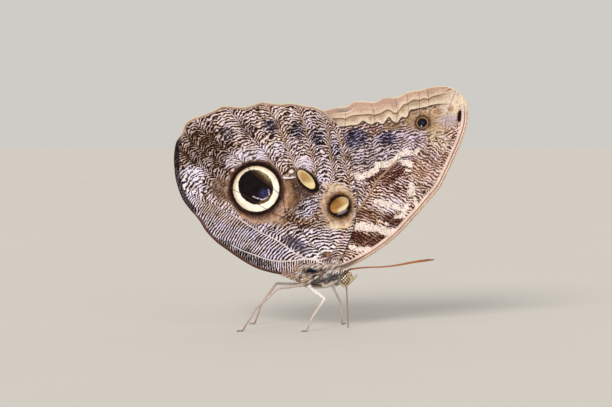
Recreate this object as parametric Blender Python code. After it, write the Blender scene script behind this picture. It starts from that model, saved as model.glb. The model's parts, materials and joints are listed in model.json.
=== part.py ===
"""Owl butterfly, life size, standing on its feet with its wings closed above its back and its tongue down.

+X is where the head points, +Y is the animal's left side and +Z is up. The origin is on the floor, under the
middle of the model's box. Shapes are worked out in millimetres and become metres when a mesh is made.
"""

import math

import bmesh
import bpy
from mathutils import Vector, geometry

MM = 0.001
GAP = 0.3  # between a piece and what it grows from
ROOT_LIFT = 0.06  # what a flat root stands further off a rounded body
RIGHT, LEFT = -1, 1
SIDE_NAMES = {RIGHT: "right", LEFT: "left"}

# Wings: seen from the side, x along the body and z up.
MEMBRANE = 0.5
HALF_SLOT = 0.2  # from the middle plane to the inner face of the innermost wing
VEIN_RISE = 0.22
VEIN_HALF_WIDTH = 0.45
EDGE_STEP = 2.3
VEIN_STEP = 2.9
VEIN_INSET = 0.6  # how far short of the wing's edge a vein's ridge ends
FILL_STEP = 6.0
FINE_STEP = 2.2
FINE_SLOPE = 0.05
HIND_OVER_FORE = MEMBRANE + VEIN_RISE + GAP + 0.05
OVERLAP_RAMP = 5.2
OVERLAP_LEAD = 0.9

HINDWING_EDGE = [
    (1.0, 74.0), (-1.4, 74.9), (-2.9, 75.5), (-5.5, 75.7), (-7.5, 76.2), (-10.6, 76.6), (-13.6, 76.3),
    (-16.7, 76.6), (-20.1, 77.0), (-23.2, 76.0), (-26.6, 75.3), (-30.0, 75.5), (-33.2, 75.7), (-36.1, 74.3),
    (-39.8, 72.7), (-43.6, 71.5), (-46.1, 69.6), (-47.5, 66.0), (-49.2, 63.1), (-49.9, 58.7), (-49.8, 54.6),
    (-49.2, 50.2), (-47.3, 44.5), (-44.6, 40.6), (-41.5, 36.9), (-39.1, 33.1), (-35.7, 29.5), (-31.7, 26.5),
    (-26.9, 23.2), (-22.1, 20.6), (-17.4, 19.2), (-13.3, 18.4), (-10.2, 17.1), (-8.6, 17.0), (-7.4, 18.6),
    (-6.2, 20.7), (-3.8, 21.7), (0.3, 21.7), (4.4, 21.8), (6.8, 24.3), (8.8, 28.6), (10.5, 32.8), (11.9, 39.6),
    (12.1, 43.7), (11.4, 49.5), (9.8, 57.6), (8.1, 64.1), (5.7, 69.0), (3.0, 71.9),
]
FOREWING_EDGE = [
    (-8.2, 70.6), (-3.8, 74.0), (1.0, 74.1), (4.7, 75.1), (8.5, 75.5), (10.8, 76.9), (13.6, 77.3), (18.0, 77.0),
    (21.4, 78.4), (25.8, 78.7), (29.2, 80.3), (33.6, 81.1), (37.0, 82.0), (41.4, 82.4), (44.5, 81.6),
    (47.2, 79.9), (49.1, 77.5), (49.8, 74.3), (49.5, 69.2), (47.9, 63.9), (45.8, 59.0), (43.1, 53.0),
    (40.4, 47.8), (36.0, 42.5), (31.1, 36.9), (25.8, 31.3), (20.0, 26.7), (14.2, 23.1), (9.8, 20.9),
    (5.4, 19.6), (2.0, 20.4), (0.5, 22.6), (-0.7, 30.1), (-2.8, 42.0), (-5.8, 55.6), (-8.2, 65.8),
]
HINDWING_VEINS = {
    "subcosta": [(2.0, 24.3), (6.1, 29.1), (9.3, 34.2), (10.7, 41.0), (10.2, 47.8), (8.5, 55.6), (6.8, 62.4),
                 (4.6, 68.2), (2.2, 71.7)],
    "radial": [(2.0, 24.3), (2.9, 30.1), (2.5, 34.9), (0.6, 41.0), (0.5, 45.1), (2.7, 49.1), (3.8, 53.2),
               (3.4, 58.3), (2.6, 63.1), (2.0, 68.5), (-0.5, 74.0)],
    "median_1": [(0.6, 41.0), (-1.1, 45.1), (-1.9, 50.2), (-2.8, 55.9), (-4.1, 63.1), (-5.5, 68.5), (-7.9, 75.5)],
    "median_2": [(-1.9, 50.2), (-7.9, 51.3), (-9.4, 56.3), (-11.9, 63.1), (-14.0, 68.0), (-17.0, 73.3),
                 (-19.4, 76.2)],
    "cubital": [(2.0, 24.3), (-3.4, 29.1), (-7.2, 34.3), (-11.6, 38.8), (-12.8, 43.4), (-13.6, 47.1),
                (-13.1, 51.0)],
    "median_3": [(-7.9, 51.3), (-13.1, 51.0), (-15.8, 55.7), (-19.4, 60.4), (-25.5, 67.5), (-29.3, 72.4),
                 (-31.7, 74.8)],
    "cubital_1": [(-13.6, 47.1), (-16.6, 47.3), (-22.5, 52.5), (-27.6, 57.3), (-35.4, 63.1), (-39.5, 66.8),
                  (-42.9, 70.6)],
    "cubital_2": [(-11.6, 38.8), (-13.8, 38.2), (-18.8, 40.7), (-26.4, 45.5), (-30.1, 47.5), (-36.1, 51.5),
                  (-41.9, 55.6), (-48.7, 60.9)],
    "anal_2": [(2.0, 24.3), (-1.5, 23.6), (-4.8, 24.0), (-8.9, 25.7), (-14.7, 29.8), (-21.5, 33.2),
               (-29.3, 38.2), (-36.8, 41.7), (-46.6, 46.2)],
    "anal_3": [(-4.8, 24.0), (-10.6, 23.1), (-16.7, 23.4), (-22.5, 25.2), (-27.6, 27.0), (-33.7, 30.1),
               (-36.8, 31.8)],
}
FOREWING_VEINS = {
    "subcosta": [(3.6, 22.3), (6.4, 22.5), (9.8, 23.3), (14.6, 24.8), (19.3, 27.7), (23.8, 30.9), (27.5, 34.2),
                 (31.2, 38.1), (34.0, 42.2), (37.4, 47.6), (39.4, 51.9)],
    "radial": [(3.6, 22.3), (9.8, 26.4), (15.9, 29.6), (21.7, 34.6), (26.8, 40.4), (31.2, 46.8), (35.0, 53.6),
               (39.4, 57.3), (43.1, 63.1), (45.7, 69.2), (46.9, 76.0)],
    "radial_5": [(39.4, 57.3), (41.4, 64.1), (42.3, 70.9), (44.2, 77.7), (45.5, 80.4)],
    "cubital": [(3.6, 22.3), (8.1, 27.9), (10.5, 33.2), (11.7, 38.6), (14.1, 42.3), (17.0, 46.8), (19.3, 50.5),
                (22.1, 53.4), (25.8, 57.3)],
    "median_3": [(25.8, 57.3), (27.5, 64.1), (29.2, 69.9), (29.5, 75.0), (28.9, 79.6)],
    "median_2": [(25.8, 57.3), (30.9, 59.8), (32.8, 64.1), (33.3, 70.2), (33.3, 75.7), (33.1, 80.4)],
    "median_1": [(30.9, 59.8), (33.6, 58.3), (36.0, 62.1), (36.9, 69.2), (36.5, 75.7), (36.0, 81.1)],
    "cell_end": [(33.6, 58.3), (35.0, 53.6)],
    "cubital_1": [(19.3, 50.5), (20.7, 57.3), (22.7, 64.1), (25.5, 70.9), (25.8, 74.3), (25.0, 78.0)],
    "cubital_2": [(14.1, 42.3), (15.3, 50.5), (16.3, 59.0), (18.0, 67.5), (18.0, 72.6), (16.8, 76.3)],
    "anal": [(3.6, 22.3), (2.3, 31.8), (3.0, 43.7), (5.1, 55.6), (7.4, 65.8), (8.3, 71.6), (7.4, 74.6)],
}
# The forewing's rear edge where the hindwing hides it, as x for each z.
FOREWING_REAR = [(20.0, 0.5), (22.6, 0.5), (30.1, -0.7), (42.0, -2.8), (55.6, -5.8), (65.8, -8.2), (90.0, -8.2)]

# Body: stations as (x, bottom z, top z, half width).
THORAX = [
    (-8.1, 16.6, 21.7, 2.5), (-7.0, 15.6, 22.8, 3.1), (-5.4, 14.8, 23.4, 3.7), (-3.2, 14.1, 23.8, 4.0),
    (-1.6, 14.0, 23.9, 4.15), (0.0, 13.9, 23.9, 4.15), (1.6, 14.3, 23.6, 3.95), (3.2, 15.0, 22.8, 3.4),
    (4.5, 15.6, 21.6, 2.75), (5.4, 15.9, 20.4, 2.1), (5.9, 16.1, 19.4, 1.55),
]
THORAX_SIDES = 24
THORAX_MID = (-1.2, 19.0)
THORAX_SWELL = (8.5, 5.0, 4.15)  # half length, half height and half width of the room it needs between the wings
HEAD = [
    (6.2, 16.0, 19.1, 1.2), (7.0, 15.75, 19.5, 1.55), (8.2, 15.85, 19.6, 1.7), (9.2, 16.4, 19.4, 1.65),
    (9.9, 17.0, 19.0, 1.4), (10.3, 17.6, 18.5, 0.8),
]
HEAD_SIDES = 20
SQUARE_SECTION = 3.4  # exponent of the head's section, which leaves its cheeks flat for the eyes
EYE_CENTRE = (8.35, 16.9)
EYE_RADIUS = 2.05
EYE_DEPTH = 1.6
EYE_BASE = 2.0  # from the middle plane to the eye's flat inner face
EYE_RINGS = 5
EYE_SIDES = 20

ABDOMEN_AXIS = [(-8.4, 19.4), (-11.0, 19.8), (-14.5, 21.0), (-18.5, 22.8), (-22.5, 24.8), (-26.4, 26.8)]
ABDOMEN_RADII = [2.25, 2.6, 2.75, 2.6, 2.3, 1.8, 0.9]
ABDOMEN_SEGMENTS = 8
SEGMENT_GROOVE = 0.14
ABDOMEN_SIDES = 16
ABDOMEN_ROOM = 0.45

# Limbs and feelers: corners as (x, y towards the side, z) and a radius for each.
ANTENNA = [
    (9.4, 0.75, 19.8), (10.2, 1.1, 20.1), (13.2, 2.2, 20.6), (16.8, 3.4, 20.9), (20.4, 4.7, 21.1),
    (24.0, 5.9, 21.5), (27.4, 7.1, 22.1), (30.6, 8.2, 22.8), (34.0, 9.2, 23.4), (37.9, 10.2, 24.0),
]
ANTENNA_RADII = [0.34, 0.3, 0.26, 0.25, 0.25, 0.25, 0.26, 0.3, 0.38, 0.22]
FEELER_DROOP = {RIGHT: 0.0, LEFT: 0.1}  # how much lower one feeler is held, for each millimetre that it spreads out
PALP = [(7.3, 1.15, 15.5), (7.9, 1.15, 14.85), (9.0, 1.1, 15.05), (10.2, 1.05, 16.15), (11.3, 1.0, 17.25),
        (12.2, 0.95, 18.0)]
PALP_RADII = [0.38, 0.46, 0.48, 0.44, 0.36, 0.2]
TONGUE = [(8.6, 0.0, 15.6), (8.7, 0.0, 13.4), (8.9, 0.0, 9.0), (9.1, 0.0, 4.0), (9.2, 0.0, 0.0)]
TONGUE_RADII = [0.32, 0.28, 0.26, 0.25, 0.25]
FORELEG_ROOT = (0.2, 2.5)
FORELEG = [(1.4, 2.9, 14.35), (3.1, 2.65, 14.95), (4.5, 2.2, 15.5), (5.6, 2.15, 16.0)]
FORELEG_RADII = [0.42, 0.42, 0.4, 0.34, 0.2]
# Each leg: hip on the thorax, then the knee, the ankle and the foot on the floor.
LEGS = {
    "leg_mid_right": [(-4.0, -1.6), (1.2, -7.2, 10.7), (-2.9, -9.6, 4.9), (-6.6, -11.2, 0.0)],
    "leg_mid_left": [(-2.8, 1.6), (3.9, 6.4, 14.0), (6.9, 9.0, 7.6), (8.4, 11.0, 0.0)],
    "leg_hind_right": [(-6.3, -1.3), (-14.7, -6.6, 14.2), (-21.8, -8.8, 7.6), (-28.2, -10.4, 0.0)],
    "leg_hind_left": [(-6.1, 1.3), (-15.3, 6.8, 14.6), (-20.4, 9.2, 7.4), (-24.6, 10.8, 0.0)],
}
LEG_SIDES = 8
HIP_RADIUS, FEMUR_RADIUS, KNEE_RADIUS, TIBIA_RADIUS, TARSUS_RADIUS = 0.62, 0.5, 0.4, 0.34, 0.28
FOOT_LENGTH = 1.8
COXA_LENGTH = 1.1
FOOT_LIFT = 0.07  # the foot's middle line above the floor; what would be lower is cut flat

COLOURS = {
    "wing scales": ((0.29, 0.22, 0.19), 0.75),
    "body hair": ((0.33, 0.26, 0.19), 0.85),
    "compound eye": ((0.36, 0.24, 0.12), 0.35),
    "feeler": ((0.38, 0.15, 0.05), 0.5),
    "leg": ((0.62, 0.48, 0.4), 0.6),
    "tongue": ((0.5, 0.42, 0.32), 0.45),
}


def clear_scene():
    for obj in list(bpy.data.objects):
        bpy.data.objects.remove(obj, do_unlink=True)


def finish(name):
    """The material of this name, made on first use."""
    known = bpy.data.materials.get(name)
    if known:
        return known
    colour, roughness = COLOURS[name]
    made = bpy.data.materials.new(name)
    made.use_nodes = True
    shader = made.node_tree.nodes["Principled BSDF"]
    shader.inputs["Base Color"].default_value = (*colour, 1.0)
    shader.inputs["Roughness"].default_value = roughness
    shader.inputs["Metallic"].default_value = 0.0
    return made


def add_solid(name, points, faces, material):
    """A closed mesh object, in metres, from points in millimetres."""
    mesh = bpy.data.meshes.new(name)
    mesh.from_pydata([Vector(p) * MM for p in points], [], faces)
    work = bmesh.new()
    work.from_mesh(mesh)
    bmesh.ops.recalc_face_normals(work, faces=work.faces)
    work.to_mesh(mesh)
    work.free()
    mesh.shade_smooth()
    mesh.set_sharp_from_angle(angle=math.radians(40))
    mesh.materials.append(finish(material))
    obj = bpy.data.objects.new(name, mesh)
    bpy.context.collection.objects.link(obj)
    return obj


def blend(a, b, t):
    return a + (b - a) * t


def smoothstep(t):
    t = min(1.0, max(0.0, t))
    return t * t * (3 - 2 * t)


def table(rows, key):
    """The value at key on the straight runs between rows of (key, value)."""
    for (k0, v0), (k1, v1) in zip(rows, rows[1:]):
        if key <= k1:
            return blend(v0, v1, max(0.0, (key - k0) / (k1 - k0)))
    return rows[-1][1]


def spline_at(p0, p1, p2, p3, t):
    """A Catmull-Rom curve between p1 and p2."""
    return 0.5 * (2 * p1 + (p2 - p0) * t + (2 * p0 - 5 * p1 + 4 * p2 - p3) * t * t
                  + (3 * p1 - p0 - 3 * p2 + p3) * t * t * t)


def smooth_run(corners, step, closed=False):
    """Points about a step apart along a smooth curve through the corners."""
    corners = [Vector(c) for c in corners]
    if closed:
        padded = [corners[-1], *corners, corners[0], corners[1]]
    else:
        padded = [2 * corners[0] - corners[1], *corners, 2 * corners[-1] - corners[-2]]
    dense = []
    for p0, p1, p2, p3 in zip(padded, padded[1:], padded[2:], padded[3:]):
        dense += [spline_at(p0, p1, p2, p3, i / 16) for i in range(16)]
    dense.append(corners[0] if closed else corners[-1])
    lengths = [0.0]
    for a, b in zip(dense, dense[1:]):
        lengths.append(lengths[-1] + (b - a).length)
    count = max(2, round(lengths[-1] / step))
    run = []
    at = 0
    for i in range(count + (not closed)):
        target = lengths[-1] * i / count
        while at < len(dense) - 2 and lengths[at + 1] < target:
            at += 1
        span = lengths[at + 1] - lengths[at]
        run.append(dense[at].lerp(dense[at + 1], min(1.0, (target - lengths[at]) / span)))
    return run


def trimmed(run, inset):
    """The run without its last stretch of this length."""
    kept = list(run)
    while len(kept) > 2 and (kept[-2] - run[-1]).length < inset:
        kept.pop()
    direction = (kept[-2] - run[-1]).normalized()
    kept[-1] = run[-1] + direction * inset
    return kept


def distance_to_run(point, run):
    """How far a point is from a line of points."""
    nearest = math.inf
    for a, b in zip(run, run[1:]):
        along = b - a
        t = min(1.0, max(0.0, (point - a).dot(along) / along.length_squared))
        nearest = min(nearest, (point - a - along * t).length)
    return nearest


def abdomen_stations():
    """The abdomen's middle line as (point, radius) from its root to its tip."""
    axis = smooth_run([Vector((x, 0.0, z)) for x, z in ABDOMEN_AXIS], 0.6)
    last = len(ABDOMEN_RADII) - 1
    stations = []
    for i, point in enumerate(axis):
        place = last * i / (len(axis) - 1)
        k = min(last - 1, int(place))
        stations.append((point, blend(ABDOMEN_RADII[k], ABDOMEN_RADII[k + 1], smoothstep(place - k))))
    return stations


ABDOMEN = abdomen_stations()


def body_room(x, z):
    """How far a wing's inner face stands off the middle plane to clear the body."""
    mid_x, mid_z = THORAX_MID
    half_length, half_height, half_width = THORAX_SWELL
    spread = ((x - mid_x) / half_length) ** 2 + ((z - mid_z) / half_height) ** 2
    thorax = (half_width + HALF_SLOT) * math.exp(-0.5 * spread)
    abdomen = 0.0
    for point, radius in ABDOMEN:
        spread = ((x - point.x) ** 2 + (z - point.z) ** 2) / radius**2
        abdomen = max(abdomen, (radius + ABDOMEN_ROOM) * math.exp(-0.5 * spread))
    return HALF_SLOT + (thorax**6 + abdomen**6) ** (1 / 6)


def forewing_lie(x, z):
    return body_room(x, z)


def hindwing_lie(x, z):
    """The hindwing lies outside the forewing and steps down to the body behind the forewing's rear edge."""
    rear = table(FOREWING_REAR, z)
    over = smoothstep((x - (rear - OVERLAP_LEAD - OVERLAP_RAMP)) / OVERLAP_RAMP)
    return body_room(x, z) + HIND_OVER_FORE * over


def side_strands(run):
    """The two lines of points beside a vein's middle line, at the feet of its ridge."""
    strands = ([], [])
    for i, point in enumerate(run):
        along = (run[min(i + 1, len(run) - 1)] - run[max(i - 1, 0)]).normalized()
        across = Vector((-along.y, along.x)) * VEIN_HALF_WIDTH
        strands[0].append(point + across)
        strands[1].append(point - across)
    return strands


def in_outline(point, outline):
    inside = False
    for a, b in zip(outline, outline[1:] + outline[:1]):
        if (a.y > point.y) != (b.y > point.y):
            if point.x < a.x + (b.x - a.x) * (point.y - a.y) / (b.y - a.y):
                inside = not inside
    return inside


def far_from(point, others, distance):
    return all((point - other).length_squared >= distance * distance for other in others)


def fill_points(outline, points, lie):
    """Points between the veins: close together where the wing curves, and wide apart where it is flat."""
    low_x, high_x = min(p.x for p in outline), max(p.x for p in outline)
    low_y, high_y = min(p.y for p in outline), max(p.y for p in outline)
    added = []
    for step in (FINE_STEP, FILL_STEP):
        for row in range(int((high_y - low_y) / (step * 0.87)) + 1):
            for column in range(int((high_x - low_x) / step) + 1):
                x = low_x + (column + 0.5 * (row % 2)) * step
                point = Vector((x, low_y + row * step * 0.87))
                slope = abs(lie(point.x + 0.5, point.y) - lie(point.x - 0.5, point.y))
                slope += abs(lie(point.x, point.y + 0.5) - lie(point.x, point.y - 0.5))
                if step == FINE_STEP and slope < FINE_SLOPE:
                    continue
                if not in_outline(point, outline) or distance_to_run(point, outline + outline[:1]) < step * 0.4:
                    continue
                if far_from(point, points + added, step * 0.62):
                    added.append(point)
    return added


def wing_plan(edge, veins, lie):
    """Points, triangles and vein lines of a wing seen from the side."""
    outline = smooth_run(edge, EDGE_STEP, closed=True)
    points = list(outline)
    edges = [(i, (i + 1) % len(outline)) for i in range(len(outline))]
    runs = []
    for corners in veins.values():
        run = smooth_run(corners, VEIN_STEP)
        ring = outline + outline[:1]
        if distance_to_run(run[-1], ring) < VEIN_INSET:
            run = trimmed(run, VEIN_INSET)
        runs.append(run)
        places = []
        for point in run:
            near = [i for i, other in enumerate(points) if (point - other).length < 0.3]
            places.append(near[0] if near else len(points))
            if not near:
                points.append(point)
        edges += [pair for pair in zip(places, places[1:]) if pair[0] != pair[1]]
    for index, run in enumerate(runs):
        others = runs[:index] + runs[index + 1:]
        for strand in side_strands(run):
            last = None
            for point in strand:
                clear = all(distance_to_run(point, other) > 0.8 * VEIN_HALF_WIDTH for other in others)
                if not (clear and in_outline(point, outline) and far_from(point, points, 0.4)):
                    last = None
                    continue
                if last is not None:
                    edges.append((last, len(points)))
                last = len(points)
                points.append(point)
    points += fill_points(outline, points, lie)
    found, _, faces, _, _, _ = geometry.delaunay_2d_cdt(points, edges, [], 1, 1e-3)
    return found, faces, runs


def ridge(point, runs):
    """How far the wing's outer face rises over its veins at a point."""
    nearest = min(distance_to_run(point, run) for run in runs)
    return VEIN_RISE * max(0.0, 1.0 - nearest / VEIN_HALF_WIDTH)


def rim_of(faces):
    """The edges that only one triangle uses, in that triangle's direction."""
    used = {(a, b) for face in faces for a, b in zip(face, [*face[1:], face[0]])}
    return [(a, b) for a, b in used if (b, a) not in used]


def add_wing(name, edge, veins, lie, side):
    """A thin wing with the same triangles on both faces and its veins raised on the outer one."""
    plan, faces, runs = wing_plan(edge, veins, lie)
    count = len(plan)
    inner = [(p.x, side * lie(p.x, p.y), p.y) for p in plan]
    outer = [(p.x, side * (lie(p.x, p.y) + MEMBRANE + ridge(p, runs)), p.y) for p in plan]
    solid = [tuple(face) for face in faces]
    solid += [tuple(count + i for i in reversed(face)) for face in faces]
    solid += [quarter for a, b in rim_of(faces) for quarter in ((b, a, count + a), (b, count + a, count + b))]
    add_solid(f"{name}_{SIDE_NAMES[side]}", inner + outer, solid, "wing scales")


def power(value, exponent):
    return math.copysign(abs(value) ** exponent, value)


def capped_rings(rings):
    """Points and faces of the skin over rings of equal count, closed at both ends."""
    sides = len(rings[0])
    points = [point for ring in rings for point in ring]
    faces = []
    for k in range(len(rings) - 1):
        for i in range(sides):
            j = (i + 1) % sides
            faces.append((k * sides + i, k * sides + j, (k + 1) * sides + j, (k + 1) * sides + i))
    faces.append(tuple(reversed(range(sides))))
    faces.append(tuple((len(rings) - 1) * sides + i for i in range(sides)))
    return points, faces


def add_hull(name, stations, sides, exponent, material):
    """A body length along X from stations of (x, bottom, top, half width)."""
    rings = []
    for x, bottom, top, half_width in stations:
        ring = []
        for i in range(sides):
            angle = math.tau * i / sides
            y = half_width * power(math.cos(angle), 2 / exponent)
            z = (bottom + top) / 2 + (top - bottom) / 2 * power(math.sin(angle), 2 / exponent)
            ring.append((x, y, z))
        rings.append(ring)
    add_solid(name, *capped_rings(rings), material)


def under_thorax(x, y):
    """The height of the thorax's underside."""
    bottom = table([(row[0], row[1]) for row in THORAX], x)
    top = table([(row[0], row[2]) for row in THORAX], x)
    half_width = table([(row[0], row[3]) for row in THORAX], x)
    return (bottom + top) / 2 - (top - bottom) / 2 * math.sqrt(1 - (y / half_width) ** 2)


def thorax_root(x, y):
    """A point just off the thorax's underside, and the way that the surface faces there."""
    reach = 0.5
    slope_x = (under_thorax(x + reach, y) - under_thorax(x - reach, y)) / (2 * reach)
    slope_y = (under_thorax(x, y + reach) - under_thorax(x, y - reach)) / (2 * reach)
    outward = Vector((slope_x, slope_y, -1)).normalized()
    return Vector((x, y, under_thorax(x, y))) + outward * (GAP + ROOT_LIFT), outward


def add_tube(name, path, radii, sides, material, first=None):
    """A tapering round limb along a path. What would be below the floor is cut flat on it."""
    rings = []
    across = None
    for k, point in enumerate(path):
        along = (path[min(k + 1, len(path) - 1)] - path[max(k - 1, 0)]).normalized()
        if k == 0 and first:
            along = Vector(first)
        if across is None:
            across = along.orthogonal().normalized()
        across = (across - along * across.dot(along)).normalized()
        other = along.cross(across)
        ring = []
        for i in range(sides):
            angle = math.tau * (i + 0.5) / sides
            place = point + radii[k] * (across * math.cos(angle) + other * math.sin(angle))
            ring.append((place.x, place.y, max(0.0, place.z)))
        rings.append(ring)
    add_solid(name, *capped_rings(rings), material)


def spread_radii(radii, count):
    """The radii read off evenly at this many stations."""
    last = len(radii) - 1
    found = []
    for i in range(count):
        place = last * i / (count - 1)
        k = min(last - 1, int(place))
        found.append(blend(radii[k], radii[k + 1], place - k))
    return found


def add_feeler(name, corners, radii, step, side, sides, material, first=None):
    path = smooth_run([Vector((x, side * y, z)) for x, y, z in corners], step)
    add_tube(name, path, spread_radii(radii, len(path)), sides, material, first)


def add_abdomen():
    """Segments that swell a little behind each groove, from the thorax up to the tip."""
    rings = []
    count = 2 * ABDOMEN_SEGMENTS + 2
    for k in range(count):
        place = (len(ABDOMEN) - 1) * k / (count - 1)
        index = min(len(ABDOMEN) - 2, int(place))
        (point, radius), (after, next_radius) = ABDOMEN[index], ABDOMEN[index + 1]
        point = point.lerp(after, place - index)
        radius = blend(radius, next_radius, place - index)
        along = (after - ABDOMEN[index][0]).normalized() if k else Vector((-1, 0, 0))
        up = Vector((0, 1, 0)).cross(along).normalized()
        radius -= SEGMENT_GROOVE * (k % 2) * (0 < k < count - 1)
        ring = []
        for i in range(ABDOMEN_SIDES):
            angle = math.tau * i / ABDOMEN_SIDES
            ring.append(point + radius * (Vector((0, math.cos(angle), 0)) + up * math.sin(angle)))
        rings.append(ring)
    add_solid("abdomen", *capped_rings(rings), "body hair")


def add_eye(side):
    """A round bulging eye with a flat inner face on the cheek."""
    x, z = EYE_CENTRE
    rings = []
    for k in range(EYE_RINGS):
        turn = 0.5 * math.pi * k / EYE_RINGS
        radius, depth = EYE_RADIUS * math.cos(turn), EYE_BASE + EYE_DEPTH * math.sin(turn)
        ring = []
        for i in range(EYE_SIDES):
            angle = math.tau * i / EYE_SIDES
            ring.append((x + radius * math.cos(angle), side * depth, z + radius * math.sin(angle)))
        rings.append(ring)
    points, faces = capped_rings(rings)
    faces.pop()
    tip = len(points)
    points.append((x, side * (EYE_BASE + EYE_DEPTH), z))
    base = (EYE_RINGS - 1) * EYE_SIDES
    faces += [(base + i, base + (i + 1) % EYE_SIDES, tip) for i in range(EYE_SIDES)]
    add_solid(f"eye_{SIDE_NAMES[side]}", points, faces, "compound eye")


def leg_path(corners):
    """Stations and radii of a leg: stout to the knee, slender below it, and flat at the foot."""
    (hip_x, hip_y), knee, ankle, foot = corners
    hip, outward = thorax_root(hip_x, hip_y)
    knee, ankle = Vector(knee), Vector(ankle)
    foot = Vector(foot) + Vector((0, 0, FOOT_LIFT))
    sole = (foot - ankle) * Vector((1, 1, 0))
    heel = foot - sole.normalized() * FOOT_LENGTH
    coxa = hip + COXA_LENGTH * (outward + (knee - hip).normalized()).normalized()
    runs = [
        (hip, HIP_RADIUS), (coxa, HIP_RADIUS), (coxa.lerp(knee, 0.12), FEMUR_RADIUS),
        (coxa.lerp(knee, 0.5), FEMUR_RADIUS), (coxa.lerp(knee, 0.93), KNEE_RADIUS),
        (knee.lerp(ankle, 0.05), KNEE_RADIUS), (knee.lerp(ankle, 0.35), TIBIA_RADIUS),
        (knee.lerp(ankle, 0.92), TIBIA_RADIUS), (ankle.lerp(heel, 0.1), TARSUS_RADIUS),
        (ankle.lerp(heel, 0.55), TARSUS_RADIUS), (heel, TARSUS_RADIUS),
        (heel.lerp(foot, 0.5), TARSUS_RADIUS), (foot, TARSUS_RADIUS),
    ]
    return [point for point, _ in runs], [radius for _, radius in runs], outward


def add_legs():
    for name, corners in LEGS.items():
        path, radii, outward = leg_path(corners)
        add_tube(name, path, radii, LEG_SIDES, "leg", first=outward)


def add_foreleg(side):
    """The short front leg, held folded against the thorax."""
    root_x, root_y = FORELEG_ROOT
    root, outward = thorax_root(root_x, side * root_y)
    corners = [root, *(Vector((x, side * y, z)) for x, y, z in FORELEG)]
    path = smooth_run(corners, 0.8)
    add_tube(f"foreleg_{SIDE_NAMES[side]}", path, spread_radii(FORELEG_RADII, len(path)), 8, "body hair", outward)


def add_body():
    add_hull("thorax", THORAX, THORAX_SIDES, 2.0, "body hair")
    add_hull("head", HEAD, HEAD_SIDES, SQUARE_SECTION, "body hair")
    add_abdomen()
    add_feeler("proboscis", TONGUE, TONGUE_RADII, 2.4, 1, 8, "tongue", first=(0, 0, -1))
    for side in (RIGHT, LEFT):
        add_eye(side)
        where = SIDE_NAMES[side]
        feeler = [(x, y, z - FEELER_DROOP[side] * (y - ANTENNA[0][1])) for x, y, z in ANTENNA]
        add_feeler(f"antenna_{where}", feeler, ANTENNA_RADII, 2.0, side, 8, "feeler")
        add_feeler(f"palp_{where}", PALP, PALP_RADII, 1.0, side, 10, "body hair", first=(0, 0, -1))
        add_foreleg(side)


def add_wings():
    for side in (RIGHT, LEFT):
        add_wing("forewing", FOREWING_EDGE, FOREWING_VEINS, forewing_lie, side)
        add_wing("hindwing", HINDWING_EDGE, HINDWING_VEINS, hindwing_lie, side)


def main():
    clear_scene()
    add_wings()
    add_body()
    add_legs()


main()
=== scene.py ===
"""Looks of the life-size owl butterfly: wings, furred body, eyes, feelers, legs, floor, light and camera.

Shapes are in millimetres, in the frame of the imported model, and become metres when a mesh is made.
+X is where the head points, +Y is the animal's left side and +Z is up.
"""

import json
import math

import bmesh
import bpy
import numpy as np
from mathutils import Matrix, Vector, geometry

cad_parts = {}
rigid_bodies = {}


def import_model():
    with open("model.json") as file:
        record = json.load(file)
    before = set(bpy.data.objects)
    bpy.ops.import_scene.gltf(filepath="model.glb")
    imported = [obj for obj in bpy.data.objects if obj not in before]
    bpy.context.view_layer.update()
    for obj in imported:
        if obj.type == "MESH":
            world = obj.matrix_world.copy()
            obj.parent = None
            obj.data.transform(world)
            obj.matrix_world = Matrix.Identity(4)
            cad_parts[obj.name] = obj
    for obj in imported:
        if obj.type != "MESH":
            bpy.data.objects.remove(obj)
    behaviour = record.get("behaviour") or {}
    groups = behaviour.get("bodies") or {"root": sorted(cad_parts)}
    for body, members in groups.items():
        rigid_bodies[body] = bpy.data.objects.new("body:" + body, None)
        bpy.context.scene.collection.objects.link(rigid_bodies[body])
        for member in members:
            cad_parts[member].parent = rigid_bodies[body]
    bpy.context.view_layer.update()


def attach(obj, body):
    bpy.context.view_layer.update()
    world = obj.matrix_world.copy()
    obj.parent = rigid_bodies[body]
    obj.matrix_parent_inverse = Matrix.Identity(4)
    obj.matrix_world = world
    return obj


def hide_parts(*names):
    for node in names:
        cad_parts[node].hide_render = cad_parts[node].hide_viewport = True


MM = 0.001
RIGHT, LEFT = -1, 1
SIDE_NAMES = {RIGHT: "right", LEFT: "left"}
UP = np.array([0.0, 0.0, 1.0])

# Wings, as the solids have them: seen from the side, x along the body and z up.
MEMBRANE = 0.5
HALF_SLOT = 0.2
VEIN_RISE = 0.22
GAP = 0.3
HIND_OVER_FORE = MEMBRANE + VEIN_RISE + GAP + 0.05
OVERLAP_RAMP = 5.2
OVERLAP_LEAD = 0.9
WING_ROOT = (2.0, 24.3)
# The finished wing is thinner than its solid, and lies in the middle of it.
WING_THICKNESS = 0.24
THIN_EDGE = 0.35  # the edge's thickness as a share of the wing's
EDGE_TAPER = 1.4
VEIN_HALF_WIDTH = 0.42
FINE_STEP = 0.31
COARSE_STEP = 1.3
CELL_DIP = 0.13  # how much lower the skin lies between the veins
FLUTTER = 0.3  # how far the wing's outer edge waves outwards

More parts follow.
